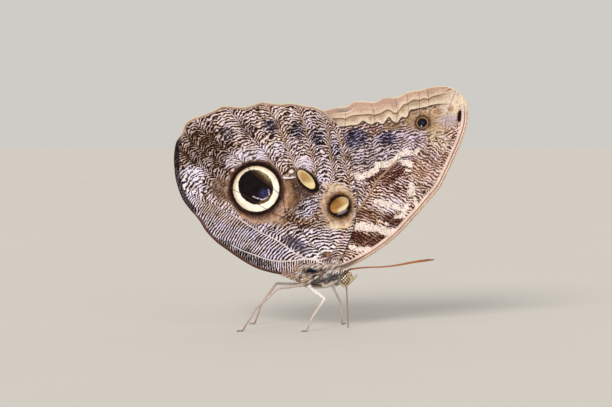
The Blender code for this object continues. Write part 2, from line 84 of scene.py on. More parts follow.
HINDWING_EDGE = [
    (1.0, 74.0), (-1.4, 74.9), (-2.9, 75.5), (-5.5, 75.7), (-7.5, 76.2), (-10.6, 76.6), (-13.6, 76.3),
    (-16.7, 76.6), (-20.1, 77.0), (-23.2, 76.0), (-26.6, 75.3), (-30.0, 75.5), (-33.2, 75.7),
    (-36.1, 74.3), (-39.8, 72.7), (-43.6, 71.5), (-46.1, 69.6), (-47.5, 66.0), (-49.2, 63.1),
    (-49.9, 58.7), (-49.8, 54.6), (-49.2, 50.2), (-47.3, 44.5), (-44.6, 40.6), (-41.5, 36.9),
    (-39.1, 33.1), (-35.7, 29.5), (-31.7, 26.5), (-26.9, 23.2), (-22.1, 20.6), (-17.4, 19.2),
    (-13.3, 18.4), (-10.2, 17.1), (-8.6, 17.0), (-7.4, 18.6), (-6.2, 20.7), (-3.8, 21.7), (0.3, 21.7),
    (4.4, 21.8), (6.8, 24.3), (8.8, 28.6), (10.5, 32.8), (11.9, 39.6), (12.1, 43.7), (11.4, 49.5),
    (9.8, 57.6), (8.1, 64.1), (5.7, 69.0), (3.0, 71.9),
]
FOREWING_EDGE = [
    (-8.2, 70.6), (-3.8, 74.0), (1.0, 74.1), (4.7, 75.1), (8.5, 75.5), (10.8, 76.9), (13.6, 77.3),
    (18.0, 77.0), (21.4, 78.4), (25.8, 78.7), (29.2, 80.3), (33.6, 81.1), (37.0, 82.0), (41.4, 82.4),
    (44.5, 81.6), (47.2, 79.9), (49.1, 77.5), (49.8, 74.3), (49.5, 69.2), (47.9, 63.9), (45.8, 59.0),
    (43.1, 53.0), (40.4, 47.8), (36.0, 42.5), (31.1, 36.9), (25.8, 31.3), (20.0, 26.7), (14.2, 23.1),
    (9.8, 20.9), (5.4, 19.6), (2.0, 20.4), (0.5, 22.6), (-0.7, 30.1), (-2.8, 42.0), (-5.8, 55.6),
    (-8.2, 65.8),
]
HINDWING_VEINS = {
    "subcosta": [(2.0, 24.3), (6.1, 29.1), (9.3, 34.2), (10.7, 41.0), (10.2, 47.8), (8.5, 55.6),
        (6.8, 62.4), (4.6, 68.2), (2.2, 71.7)],
    "radial": [(2.0, 24.3), (2.9, 30.1), (2.5, 34.9), (0.6, 41.0), (0.5, 45.1), (2.7, 49.1), (3.8, 53.2),
        (3.4, 58.3), (2.6, 63.1), (2.0, 68.5), (-0.5, 74.0)],
    "median_1": [(0.6, 41.0), (-1.1, 45.1), (-1.9, 50.2), (-2.8, 55.9), (-4.1, 63.1), (-5.5, 68.5),
        (-7.9, 75.5)],
    "median_2": [(-1.9, 50.2), (-7.9, 51.3), (-9.4, 56.3), (-11.9, 63.1), (-14.0, 68.0), (-17.0, 73.3),
        (-19.4, 76.2)],
    "cubital": [(2.0, 24.3), (-3.4, 29.1), (-7.2, 34.3), (-11.6, 38.8), (-12.8, 43.4), (-13.6, 47.1),
        (-13.1, 51.0)],
    "median_3": [(-7.9, 51.3), (-13.1, 51.0), (-15.8, 55.7), (-19.4, 60.4), (-25.5, 67.5), (-29.3, 72.4),
        (-31.7, 74.8)],
    "cubital_1": [(-12.9, 44.2), (-15.2, 46.7), (-22.5, 52.5), (-27.6, 57.3), (-35.4, 63.1),
        (-39.5, 66.8), (-42.9, 70.6)],
    "cubital_2": [(-11.6, 38.8), (-13.8, 38.2), (-18.8, 40.7), (-26.4, 45.5), (-30.1, 47.5),
        (-36.1, 51.5), (-41.9, 55.6), (-48.7, 60.9)],
    "anal_2": [(2.0, 24.3), (-1.5, 23.6), (-4.8, 24.0), (-8.9, 25.7), (-14.7, 29.8), (-21.5, 33.2),
        (-29.3, 38.2), (-36.8, 41.7), (-46.6, 46.2)],
    "anal_3": [(-4.8, 24.0), (-10.6, 23.1), (-16.7, 23.4), (-22.5, 25.2), (-27.6, 27.0), (-33.7, 30.1),
        (-36.8, 31.8)],
}
FOREWING_VEINS = {
    "subcosta": [(3.6, 22.3), (6.4, 22.5), (9.8, 23.3), (14.6, 24.8), (19.3, 27.7), (23.8, 30.9),
        (27.5, 34.2), (31.2, 38.1), (34.0, 42.2), (37.4, 47.6), (39.4, 51.9)],
    "radial": [(3.6, 22.3), (9.8, 26.4), (15.9, 29.6), (21.7, 34.6), (26.8, 40.4), (31.2, 46.8),
        (35.0, 53.6), (39.4, 57.3), (43.1, 63.1), (45.7, 69.2), (46.9, 76.0)],
    "radial_5": [(39.4, 57.3), (41.4, 64.1), (42.3, 70.9), (44.2, 77.7), (45.5, 80.4)],
    "cubital": [(3.6, 22.3), (8.1, 27.9), (10.5, 33.2), (11.7, 38.6), (14.1, 42.3), (17.0, 46.8),
        (19.3, 50.5), (22.1, 53.4), (25.8, 57.3)],
    "median_3": [(25.8, 57.3), (27.5, 64.1), (29.2, 69.9), (29.5, 75.0), (28.9, 79.6)],
    "median_2": [(25.8, 57.3), (30.9, 59.8), (32.8, 64.1), (33.3, 70.2), (33.3, 75.7), (33.1, 80.4)],
    "median_1": [(30.9, 59.8), (33.6, 58.3), (36.0, 62.1), (36.9, 69.2), (36.5, 75.7), (36.0, 81.1)],
    "cell_end": [(33.6, 58.3), (35.0, 53.6)],
    "cubital_1": [(19.3, 50.5), (20.7, 57.3), (22.7, 64.1), (25.5, 70.9), (25.8, 74.3), (25.0, 78.0)],
    "cubital_2": [(14.1, 42.3), (15.3, 50.5), (16.3, 59.0), (18.0, 67.5), (18.0, 72.6), (16.8, 76.3)],
    "anal": [(3.6, 22.3), (2.3, 31.8), (3.0, 43.7), (5.1, 55.6), (7.4, 65.8), (8.3, 71.6), (7.4, 74.6)],
}
FOREWING_REAR = [
    (20.0, 0.5), (22.6, 0.5), (30.1, -0.7), (42.0, -2.8), (55.6, -5.8), (65.8, -8.2), (90.0, -8.2),
]

# Body, as the solids have it.
THORAX = [
    (-8.1, 16.6, 21.7, 2.5), (-7.0, 15.6, 22.8, 3.1), (-5.4, 14.8, 23.4, 3.7), (-3.2, 14.1, 23.8, 4.0),
    (-1.6, 14.0, 23.9, 4.15), (0.0, 13.9, 23.9, 4.15), (1.6, 14.3, 23.6, 3.95), (3.2, 15.0, 22.8, 3.4),
    (4.5, 15.6, 21.6, 2.75), (5.4, 15.9, 20.4, 2.1), (5.9, 16.1, 19.4, 1.55),
]
THORAX_MID = (-1.2, 19.0)
THORAX_SWELL = (8.5, 5.0, 4.15)
EYE_CENTRE = (8.1, 16.9)
EYE_HALVES = (1.4, 1.7, 1.82)  # half length, half width and half height of an eye
EYE_OUT = 1.6  # how far the middle of an eye is from the middle plane
ABDOMEN_AXIS = [(-8.4, 19.4), (-11.0, 19.8), (-14.5, 21.0), (-18.5, 22.8), (-22.5, 24.8), (-26.4, 26.8)]
ABDOMEN_RADII = [2.25, 2.6, 2.75, 2.6, 2.3, 1.8, 0.9]
ABDOMEN_ROOM = 0.45
ANTENNA = [
    (9.4, 0.75, 19.8), (10.2, 1.1, 20.1), (13.2, 2.2, 20.6), (16.8, 3.4, 20.9), (20.4, 4.7, 21.1),
    (24.0, 5.9, 21.5), (27.4, 7.1, 22.1), (30.6, 8.2, 22.8), (34.0, 9.2, 23.4), (37.9, 10.2, 24.0),
]
ANTENNA_RADII = [0.3, 0.25, 0.22, 0.21, 0.21, 0.22, 0.24, 0.29, 0.36, 0.22]
FEELER_DROOP = {RIGHT: -0.03, LEFT: 0.15}
PALP = [
    (6.6, 1.3, 15.1), (7.4, 1.3, 14.65), (8.5, 1.2, 14.8), (9.6, 1.1, 15.6), (10.6, 1.05, 16.55),
    (11.4, 1.0, 17.3), (12.2, 0.95, 17.95),
]
PALP_RADII = [0.3, 0.36, 0.38, 0.35, 0.3, 0.18]
TONGUE = [(8.6, 0.0, 15.6), (8.7, 0.0, 13.4), (8.9, 0.0, 9.0), (9.1, 0.0, 4.0), (9.2, 0.0, 0.0)]
TONGUE_RADII = [0.32, 0.28, 0.26, 0.25, 0.25]
FORELEG_ROOT = (0.2, 2.5)
FORELEG = [(1.4, 2.9, 14.55), (3.1, 2.65, 15.2), (4.3, 2.3, 15.8), (5.2, 2.2, 16.2)]
FORELEG_RADII = [0.42, 0.42, 0.4, 0.34, 0.2]
LEGS = {
    "leg_mid_right": [(-4.0, -1.6), (1.2, -7.2, 10.7), (-2.9, -9.6, 4.9), (-6.6, -11.2, 0.0)],
    "leg_mid_left": [(-2.8, 1.6), (3.9, 6.4, 14.0), (6.9, 9.0, 7.6), (8.4, 11.0, 0.0)],
    "leg_hind_right": [(-6.3, -1.3), (-14.7, -6.6, 14.2), (-21.8, -8.8, 7.6), (-28.2, -10.4, 0.0)],
    "leg_hind_left": [(-6.1, 1.3), (-15.3, 6.8, 14.6), (-20.4, 9.2, 7.4), (-24.6, 10.8, 0.0)],
}
CORE_SHARE = 0.8  # a palp's or front leg's core under its hair, as a share of the whole
FOOT_LENGTH = 1.8
COXA_LENGTH = 1.1

# Colours, as sRGB.
PALETTE = {
    "umber": "#4a342b", "blush": "#ecd9cd", "bark": "#33211a", "sand": "#a38768", "smoke": "#57505f",
    "lilac": "#f3effa", "ink": "#221a26", "orchid": "#ece4f2", "coal": "#17131b", "chalk": "#f2edf2",
    "navy": "#1c192a", "haze": "#a098ad", "ochre": "#b79c78", "earth": "#63462f", "olive": "#8a6d4c",
    "peat": "#352317", "khaki": "#a5855f", "tan": "#5f432c", "fawn": "#ad9472", "drab": "#7a6045",
    "straw": "#ecdca8", "wheat": "#bda582", "milk": "#e6dac4", "slate": "#393541", "fog": "#d3cee0",
    "honey": "#b0906c", "cocoa": "#3a2618", "plum": "#43343f", "rose": "#eadde0", "night": "#2a2740",
    "steel": "#8d86a3", "violet": "#382b38", "pearl": "#dccfd0", "maroon": "#4b2a25",
    "biscuit": "#cfb08f", "rust": "#6a4435", "toast": "#9c7650", "moss": "#6b5740", "dun": "#a98f6b",
    "bone": "#ddcfb2", "mist": "#b7adb3", "mauve": "#665064", "cream": "#f6ecca", "shell": "#cdb49a",
    "brick": "#5a382d", "soot": "#181018", "wine": "#3c1d1b", "leaf": "#cfc5a6", "dust": "#a8897c",
    "fringe": "#dccbb2", "rim": "#8d7568", "grape": "#574a4c", "petal": "#f2dac6",
}

# Soft patches on a wing's underside: middle, half sizes, turn in degrees, colour between the ripples,
# colour of the ripples, how much the ripples widen, how far they fade, and how strong the patch is.
HINDWING_PATCHES = [
    ((1.5, 64.0), (11.0, 12.0), 0, "grape", "rose", 0.05, 0.0, 0.8),
    ((-38.0, 61.0), (10.5, 8.5), -45, "bark", "sand", -0.3, 0.0, 0.95),
    ((-29.0, 69.0), (7.0, 5.5), 10, "plum", "blush", 0.1, 0.0, 0.8),
    ((-45.5, 46.5), (6.0, 11.0), -20, "ink", "lilac", 0.3, 0.0, 1.0),
    ((-26.0, 31.0), (18.5, 9.0), -30, "ink", "orchid", 0.0, 0.0, 1.0),
    ((-34.0, 40.3), (9.5, 3.6), -27, "bark", "blush", 0.0, 0.1, 0.8),
    ((-24.5, 58.2), (9.0, 3.2), 12, "smoke", "lilac", 0.5, 0.15, 0.9),
    ((-12.8, 60.6), (4.5, 3.0), 0, "smoke", "lilac", 0.15, 0.0, 0.6),
    ((-6.3, 56.2), (4.6, 2.1), -18, "smoke", "chalk", 0.7, 0.2, 0.95),
    ((2.0, 51.0), (4.2, 3.6), -50, "plum", "chalk", 0.35, 0.0, 0.8),
    ((-3.5, 29.5), (10.0, 6.2), 0, "coal", "chalk", 0.1, 0.0, 1.0),
    ((-8.6, 28.8), (5.0, 2.0), -32, "navy", "haze", -0.4, 0.35, 0.9),
    ((-6.5, 37.0), (9.5, 3.0), -8, "cocoa", "honey", -0.25, 0.15, 0.95),
    ((-17.0, 38.2), (5.4, 2.6), -30, "tan", "fawn", 0.2, 0.75, 1.0),
    ((-24.0, 37.2), (3.6, 1.4), -32, "tan", "khaki", 0.0, 0.7, 0.9),
    ((-33.0, 47.3), (4.6, 3.6), -32, "peat", "olive", 0.0, 0.7, 0.95),
    ((-10.0, 46.0), (3.3, 6.0), 8, "cocoa", "drab", -0.1, 0.8, 1.0),
    ((-10.9, 45.6), (1.5, 4.6), 8, "drab", "khaki", 0.2, 0.95, 0.95),
    ((-6.0, 46.8), (4.2, 1.9), -40, "cocoa", "umber", -0.2, 0.75, 0.9),
    ((-3.9, 41.6), (5.0, 2.6), 42, "slate", "fog", 0.1, 0.0, 0.95),
    ((5.4, 41.4), (6.6, 6.8), 0, "tan", "fawn", 0.3, 0.4, 0.9),
    ((4.8, 48.1), (4.8, 1.4), -10, "wheat", "milk", 0.6, 0.6, 0.95),
    ((6.3, 35.3), (4.2, 1.3), 8, "straw", "cream", 0.6, 0.6, 0.95),
    ((2.0, 24.6), (2.3, 1.5), 0, "umber", "drab", -0.2, 0.7, 0.95),
    ((-27.0, 25.6), (12.0, 1.9), -24, "coal", "chalk", -0.6, 0.0, 0.9),
    ((-38.2, 63.2), (2.9, 2.3), -40, "cocoa", "earth", -0.35, 0.2, 0.85),
    ((-32.0, 66.4), (2.6, 2.2), -35, "cocoa", "haze", -0.3, 0.1, 0.7),
    ((-25.0, 67.8), (2.6, 2.0), -20, "cocoa", "earth", -0.3, 0.1, 0.7),
    ((-16.6, 69.0), (2.7, 2.4), 0, "navy", "haze", -0.45, 0.1, 0.9),
    ((-8.0, 67.3), (2.7, 2.8), 10, "navy", "fog", -0.4, 0.0, 0.9),
    ((-1.2, 64.6), (2.4, 3.0), 20, "navy", "fog", -0.35, 0.0, 0.85),
    ((5.0, 61.2), (2.0, 3.2), 20, "navy", "fog", -0.3, 0.0, 0.8),
    ((-43.5, 58.0), (3.0, 2.4), -60, "cocoa", "earth", -0.2, 0.1, 0.7),
    ((-47.6, 57.5), (2.6, 4.0), -12, "cocoa", "sand", -0.3, 0.0, 0.7),
]
FOREWING_PATCHES = [
    ((20.0, 61.5), (16.0, 8.5), 10, "violet", "pearl", 0.0, 0.12, 1.0),
    ((11.5, 64.8), (4.0, 3.3), 0, "night", "steel", -0.5, 0.1, 0.95),
    ((22.9, 64.6), (3.4, 2.2), -8, "night", "steel", -0.5, 0.1, 0.9),
    ((31.0, 64.2), (5.6, 4.0), 15, "mauve", "rose", 0.15, 0.1, 0.95),
    ((39.4, 63.6), (4.2, 4.0), 0, "drab", "bone", 0.35, 0.1, 0.95),
    ((38.6, 70.6), (7.0, 4.6), 0, "dun", "bone", 0.0, 0.75, 0.9),
    ((43.4, 71.0), (2.8, 2.6), 0, "mist", "mist", 0.0, 0.9, 0.8),
    ((33.6, 70.8), (5.8, 3.2), 0, "khaki", "dun", 0.0, 0.85, 0.95),
    ((24.3, 68.9), (3.2, 1.6), 5, "moss", "dun", 0.0, 0.6, 0.9),
    ((18.0, 67.4), (2.6, 1.7), 0, "rust", "toast", 0.0, 0.15, 0.7),
    ((45.5, 76.5), (5.5, 4.5), 0, "bone", "milk", 0.0, 1.0, 1.0),
    ((39.3, 73.7), (1.3, 1.0), 0, "toast", "toast", 0.0, 0.9, 0.6),
    ((43.8, 74.6), (1.2, 1.0), 0, "toast", "toast", 0.0, 0.9, 0.6),
    ((37.0, 54.5), (6.5, 7.6), 0, "rust", "petal", 0.0, 0.25, 0.95),
    ((37.6, 58.4), (3.0, 1.9), -20, "mauve", "rose", 0.0, 0.1, 0.5),
    ((24.5, 48.8), (8.0, 4.2), -25, "rust", "blush", -0.2, 0.0, 0.95),
    ((13.0, 47.0), (3.5, 5.5), -10, "umber", "rose", 0.1, 0.1, 0.8),
    ((24.0, 42.0), (6.2, 3.0), -10, "umber", "chalk", 0.5, 0.2, 0.9),
    ((16.2, 38.6), (4.4, 2.2), 0, "rust", "ochre", 0.0, 0.2, 0.95),
    ((24.5, 36.8), (3.6, 2.4), -20, "maroon", "umber", -0.3, 0.3, 0.9),
    ((16.2, 30.3), (6.8, 3.0), -5, "maroon", "biscuit", -0.4, 0.1, 0.95),
    ((34.5, 45.8), (4.6, 4.5), -55, "umber", "blush", 0.0, 0.1, 0.8),
]
# Bold marks on the forewing: a line and its half width.
CREAM_MARKS = [
    ([(10.6, 51.9), (13.8, 51.5), (16.5, 52.8), (18.6, 54.2), (18.9, 55.6)], 1.05),
    ([(18.9, 55.6), (22.6, 55.9), (25.4, 57.4)], 1.0),
    ([(25.4, 57.4), (26.8, 59.4), (28.5, 59.8), (31.4, 59.5), (32.6, 60.6)], 0.85),
    ([(28.1, 56.4), (30.0, 55.8)], 1.2),
    ([(29.0, 53.9), (30.2, 53.7)], 0.5),
    ([(30.6, 48.2), (30.8, 46.2)], 1.2),
    ([(31.7, 44.2), (32.6, 41.8)], 0.6),
    ([(28.8, 41.4), (27.4, 38.3), (25.6, 37.9)], 0.75),
    ([(12.3, 34.6), (16.5, 34.6), (21.0, 33.5), (24.6, 32.6)], 1.3),
    ([(10.1, 27.8), (12.7, 26.9), (16.2, 27.1)], 0.85),
    ([(22.1, 35.5), (22.7, 35.5)], 0.55),
    ([(19.0, 43.3), (23.0, 42.2)], 1.0),
    ([(25.0, 41.4), (27.0, 40.5)], 0.7),
]
MAROON_MARKS = [
    ([(16.2, 50.9), (19.6, 53.0), (22.6, 52.9), (24.1, 54.7), (25.6, 56.1)], 0.95),
    ([(21.8, 49.4), (24.1, 50.6), (26.4, 53.2), (27.6, 54.8)], 1.2),
    ([(12.7, 39.4), (16.5, 39.5)], 0.8),
    ([(22.2, 37.2), (24.8, 36.6), (27.2, 35.6)], 1.3),
    ([(11.4, 31.2), (14.6, 29.9), (18.4, 29.6), (21.8, 30.3)], 1.5),
]
# The two dark scalloped lines along the forewing's outer edge, from the hindwing to the tip.
OUTER_LINE = [
    (-4.0, 69.9), (4.4, 70.9), (8.1, 71.4), (10.5, 71.9), (13.9, 72.2), (17.3, 72.6), (20.0, 72.7),
    (21.4, 73.4), (22.7, 74.0), (24.8, 73.0), (26.3, 74.1), (28.2, 75.8), (29.5, 76.7), (32.9, 77.7),
    (35.0, 77.9), (37.4, 78.4), (41.4, 79.3), (45.0, 79.6),
]
INNER_LINE = [
    (-3.0, 68.1), (5.1, 68.4), (8.1, 68.5), (10.5, 68.9), (12.5, 69.0), (14.2, 70.4), (15.9, 69.4),
    (17.3, 69.2), (19.0, 70.0), (20.0, 69.4), (21.4, 69.5), (22.9, 71.7), (23.8, 70.6), (25.8, 69.7),
    (27.3, 71.7), (28.5, 71.4), (29.5, 72.2), (30.2, 74.0), (31.6, 74.3), (35.0, 75.0), (38.4, 75.9),
    (41.4, 76.2), (45.0, 75.9),
]
# Pale lines: across the end of the cell, and in loops of hair-like scales round the stem.
STEM_LOOPS = [
    [(-12.7, 51.35), (-10.6, 51.25), (-8.7, 51.45)],
    [(-2.2, 24.1), (-1.6, 23.4), (-0.4, 22.7), (1.2, 22.3), (2.6, 22.2), (3.9, 22.4)],
    [(-1.4, 24.7), (-0.5, 26.0), (1.3, 26.7), (3.4, 26.6)],
    [(-7.5, 23.7), (-4.6, 23.9), (-1.6, 24.1)],
]
RIPPLE_CENTRE = (6.0, 4.0)
MARGIN_CENTRE = (20.0, 20.0)
RIPPLE_PERIOD = 1.06
FORE_PERIOD = 0.98
STRIP_PERIOD = 0.84
MARGIN_PERIOD = 0.72
# Folds of the hindwing that show as thin lines.
DARK_FOLDS = [
    [(-15.7, 33.2), (-20.1, 35.5), (-24.2, 38.8), (-27.9, 41.5), (-33.7, 45.7), (-39.5, 49.5)],
    [(-46.3, 65.8), (-40.0, 60.4), (-35.1, 57.1)],
    [(-8.6, 50.0), (-7.6, 46.6), (-6.9, 43.7), (-6.3, 40.4)],
    [(-10.0, 50.0), (-8.9, 47.1), (-9.1, 44.3), (-10.4, 41.5), (-11.7, 38.9)],
    [(-12.9, 50.7), (-10.8, 50.6), (-8.6, 50.8)],
]

# Spots of the hindwing: middle, half sizes and turn in degrees.
RING_BORDER = ((-22.1, 47.6), (9.3, 9.5), 0)
RING = ((-22.08, 47.5), (7.85, 7.75), 0)
PUPIL = ((-22.2, 48.1), (6.25, 5.7), -45)
PUPIL_CHORD = [(-24.6, 54.3), (-16.0, 47.0)]  # above it the pupil pales to olive
CRESCENT = [
    (-23.3, 45.0), (-21.9, 44.4), (-21.2, 44.2), (-20.0, 43.8), (-18.3, 44.5), (-17.6, 45.6),
    (-17.9, 47.2),
]
PUPIL_SHEEN = ((-19.2, 46.0), (2.3, 1.7), 35)
OVAL_BORDER = ((-4.5, 50.25), (5.25, 2.95), -47)
OVAL = ((-5.05, 50.8), (4.05, 1.85), -48)
KNOB_BORDER = ((-10.1, 53.7), (1.3, 1.2), 0)
KNOB = ((-10.15, 53.4), (0.85, 0.7), 30)
BALL_BORDER = ((6.3, 41.7), (4.2, 4.25), 0)
BALL = ((6.2, 42.1), (3.45, 2.4), 33)
BALL_SHADE = ((7.2, 39.7), (1.9, 0.5), 26)
# How wide the smooth halos of ring and ball are towards each side, by degrees from the front.
RING_HALO = [
    (-180, 1.0), (-135, 0.5), (-90, 2.2), (-55, 3.6), (-25, 2.4), (5, 0.7), (45, 0.6), (90, 0.2),
    (135, 0.4), (180, 1.0),
]
BALL_HALO = [
    (-180, 2.2), (-150, 1.6), (-120, 2.6), (-80, 3.4), (-50, 2.4), (0, 0.4), (45, 0.9), (80, 1.9),
    (110, 1.4), (140, 2.6), (180, 2.2),
]
# Spots of the forewing.
SMALL_BORDER = ((34.3, 69.9), (2.55, 2.5), 0)
SMALL_RING = ((34.3, 69.9), (2.05, 2.0), 0)
SMALL_PUPIL = ((34.25, 69.9), (1.68, 1.65), 0)
SMALL_DOT = (34.0, 68.8)
TIP_SPOT = ((47.0, 72.2), (0.8, 1.95), -4)
TIP_TAIL = [(46.8, 70.1), (46.9, 68.4)]


def rgb(code):
    """A linear colour from an sRGB hex value."""
    parts = [int(code[i:i + 2], 16) / 255 for i in (1, 3, 5)]
    return np.array([p / 12.92 if p <= 0.04045 else ((p + 0.055) / 1.055) ** 2.4 for p in parts])


def paint(name):
    return rgb(PALETTE[name])


def ease(value):
    value = np.clip(value, 0.0, 1.0)
    return value * value * (3 - 2 * value)


def unit(vectors):
    return vectors / np.maximum(np.linalg.norm(vectors, axis=-1, keepdims=True), 1e-9)


def mix(a, b, share):
    """Colours between a and b, one for each share."""
    return a + (b - a) * np.asarray(share)[..., None]


def reach_along(path):
    """How far each point of a path is from its start, along the path."""
    return np.concatenate([[0.0], np.cumsum(np.linalg.norm(np.diff(path, axis=0), axis=1))])


def smooth_run(corners, step, closed=False):
    """Points about a step apart along a smooth curve through the corners."""
    corners = np.array(corners, float)
    if closed:
        padded = np.vstack([corners[-1:], corners, corners[:2]])
    else:
        padded = np.vstack([2 * corners[:1] - corners[1:2], corners, 2 * corners[-1:] - corners[-2:-1]])
    t = np.arange(16)[:, None] / 16
    dense = []
    for p0, p1, p2, p3 in zip(padded, padded[1:], padded[2:], padded[3:]):
        dense.append(0.5 * (2 * p1 + (p2 - p0) * t + (2 * p0 - 5 * p1 + 4 * p2 - p3) * t * t
                            + (3 * p1 - p0 - 3 * p2 + p3) * t * t * t))
    dense = np.vstack([*dense, corners[:1] if closed else corners[-1:]])
    lengths = reach_along(dense)
    count = max(2, round(lengths[-1] / step))
    places = lengths[-1] * np.arange(count + (not closed)) / count
    return np.column_stack([np.interp(places, lengths, axis) for axis in dense.T])


def distance_to(points, run):
    """How far each point is from a line of points."""
    best = np.full(len(points), np.inf)
    run = np.asarray(run, float)
    for a, b in zip(run, run[1:]):
        along = b - a
        t = np.clip((points - a) @ along / (along @ along), 0.0, 1.0)
        gap = points - a - t[:, None] * along
        np.minimum(best, np.einsum("ij,ij->i", gap, gap), out=best)
    return np.sqrt(best)


def distance_to_all(points, runs):
    return np.min([distance_to(points, run) for run in runs], axis=0)


def inside(points, outline):
    found = np.zeros(len(points), bool)
    for a, b in zip(outline, np.roll(outline, -1, axis=0)):
        if a[1] == b[1]:
            continue
        spans = (a[1] > points[:, 1]) != (b[1] > points[:, 1])
        crossing = a[0] + (b[0] - a[0]) * (points[:, 1] - a[1]) / (b[1] - a[1])
        found ^= spans & (points[:, 0] < crossing)
    return found


def in_ellipse(points, shape):
    """Each point's distance from an ellipse's middle as a share of its size, and its distance outside it."""
    centre, halves, turn = shape
    c, s = math.cos(math.radians(turn)), math.sin(math.radians(turn))
    across = points - np.array(centre)
    local = np.column_stack([across[:, 0] * c + across[:, 1] * s, across[:, 1] * c - across[:, 0] * s])
    share = np.maximum(np.linalg.norm(local / np.array(halves), axis=1), 1e-6)
    return share, (share - 1) * np.linalg.norm(local, axis=1) / share


def outside_ellipse(points, shape):
    return in_ellipse(points, shape)[1]


def outside_all(points, shapes):
    return np.min([outside_ellipse(points, shape) for shape in shapes], axis=0)


def abdomen_stations():
    """The abdomen's middle line and its radius along it."""
    axis = smooth_run(ABDOMEN_AXIS, 0.6)
    place = np.linspace(0, len(ABDOMEN_RADII) - 1, len(axis))
    low = np.minimum(place.astype(int), len(ABDOMEN_RADII) - 2)
    radii = np.array(ABDOMEN_RADII)
    return axis, radii[low] + (radii[low + 1] - radii[low]) * ease(place - low)


ABDOMEN_MIDDLES, ABDOMEN_WIDTHS = abdomen_stations()


def body_room(points):
    """How far a wing's inner face stands off the middle plane to clear the body."""
    half_length, half_height, half_width = THORAX_SWELL
    shares = (points - np.array(THORAX_MID)) / (half_length, half_height)
    spread = shares[:, 0] ** 2 + shares[:, 1] ** 2
    thorax = (half_width + HALF_SLOT) * np.exp(-0.5 * spread)
    abdomen = np.zeros(len(points))
    for middle, radius in zip(ABDOMEN_MIDDLES, ABDOMEN_WIDTHS):
        spread = np.sum((points - middle) ** 2, axis=1) / radius**2
        abdomen = np.maximum(abdomen, (radius + ABDOMEN_ROOM) * np.exp(-0.5 * spread))
    return HALF_SLOT + (thorax**6 + abdomen**6) ** (1 / 6)


def hindwing_lie(points):
    """The same for the hindwing, which lies over the forewing's rear part."""
    heights, rears = zip(*FOREWING_REAR)
    rear = np.interp(points[:, 1], heights, rears)
    over = ease((points[:, 0] - (rear - OVERLAP_LEAD - OVERLAP_RAMP)) / OVERLAP_RAMP)
    return body_room(points) + HIND_OVER_FORE * over


def from_root(points):
    return np.linalg.norm(points - np.array(WING_ROOT), axis=1)


def flutter(points):
    """The slow waves of a wing's outer half, the same on all wings, so that they never touch."""
    reach = ease((from_root(points) - 24) / 26)
    wave = np.sin(points[:, 0] * 0.42 + 0.7) + np.sin(points[:, 0] * 0.23 - points[:, 1] * 0.17 + 2.0)
    return FLUTTER * reach * (0.5 + 0.25 * wave)


def trim_line(run, outline, inset=0.22):
    """The points of a line that are well inside the outline."""
    keep = inside(run, outline) & (distance_to(run, np.vstack([outline, outline[:1]])) > inset)
    return run[keep]


def wing_plan(edge, lines, step):
    """Points, triangles and the places of the outline's points in a wing seen from the side."""
    outline = smooth_run(edge, FINE_STEP, closed=True)
    turning = np.sum(outline[:, 0] * np.roll(outline[:, 1], -1) - outline[:, 1] * np.roll(outline[:, 0], -1))
    if turning < 0:
        outline = outline[::-1]
    ring = np.vstack([outline, outline[:1]])
    points = [outline]
    edges = [(i, (i + 1) % len(outline)) for i in range(len(outline))]
    count = len(outline)
    kept = [trim_line(run, outline) for run in lines]
    for run in kept:
        points.append(run)
        edges += [(count + k, count + k + 1) for k in range(len(run) - 1)]
        count += len(run)
    low, high = outline.min(axis=0), outline.max(axis=0)
    rows = []
    for row, z in enumerate(np.arange(low[1], high[1], step * 0.866)):
        across = np.arange(low[0] + 0.5 * step * (row % 2), high[0], step)
        rows.append(np.column_stack([across, np.full(len(across), z)]))
    grid = np.vstack(rows)
    grid = grid[inside(grid, outline)]
    grid = grid[distance_to(grid, ring) > 0.45 * step]
    for run in kept:
        grid = grid[distance_to(grid, run) > 0.5 * step]
    points.append(grid)
    corners = [Vector(p) for p in np.vstack(points)]
    found, _, faces, origin, _, _ = geometry.delaunay_2d_cdt(corners, edges, [], 1, 1e-4)
    places = {source: place for place, sources in enumerate(origin) for source in sources}
    rim = [places[i] for i in range(len(outline))]
    return np.array([tuple(p) for p in found]), np.array(faces), np.array(rim)


def triangle_mesh(name, points, triangles):
    """A mesh object in metres from points in millimetres."""
    mesh = bpy.data.meshes.new(name)
    mesh.vertices.add(len(points))
    mesh.vertices.foreach_set("co", (points * MM).astype(np.float32).ravel())
    mesh.loops.add(3 * len(triangles))
    mesh.loops.foreach_set("vertex_index", triangles.astype(np.int32).ravel())
    mesh.polygons.add(len(triangles))
    mesh.polygons.foreach_set("loop_start", np.arange(0, 3 * len(triangles), 3, dtype=np.int32))
    mesh.update(calc_edges=True)
    mesh.validate()
    mesh.shade_smooth()
    obj = bpy.data.objects.new(name, mesh)
    bpy.context.collection.objects.link(obj)
    return obj


def set_vectors(mesh, name, values):
    layer = mesh.attributes.new(name, "FLOAT_VECTOR", "POINT")
    layer.data.foreach_set("vector", values.astype(np.float32).ravel())


def set_colours(mesh, name, values):
    layer = mesh.attributes.new(name, "FLOAT_COLOR", "POINT")
    full = np.column_stack([values, np.ones(len(values))])
    layer.data.foreach_set("color", full.astype(np.float32).ravel())


def set_uv(mesh, places):
    """The map that the finish is laid out on, from one place for each point."""
    layer = mesh.uv_layers.new(name="OFBake")
    corners = np.empty(len(mesh.loops), np.int32)
    mesh.loops.foreach_get("vertex_index", corners)
    layer.data.foreach_set("uv", places[corners].astype(np.float32).ravel())


def patch_weight(points, shape, strength):
    share, _ = in_ellipse(points, shape)
    return strength * ease((1.3 - share) / 0.65)


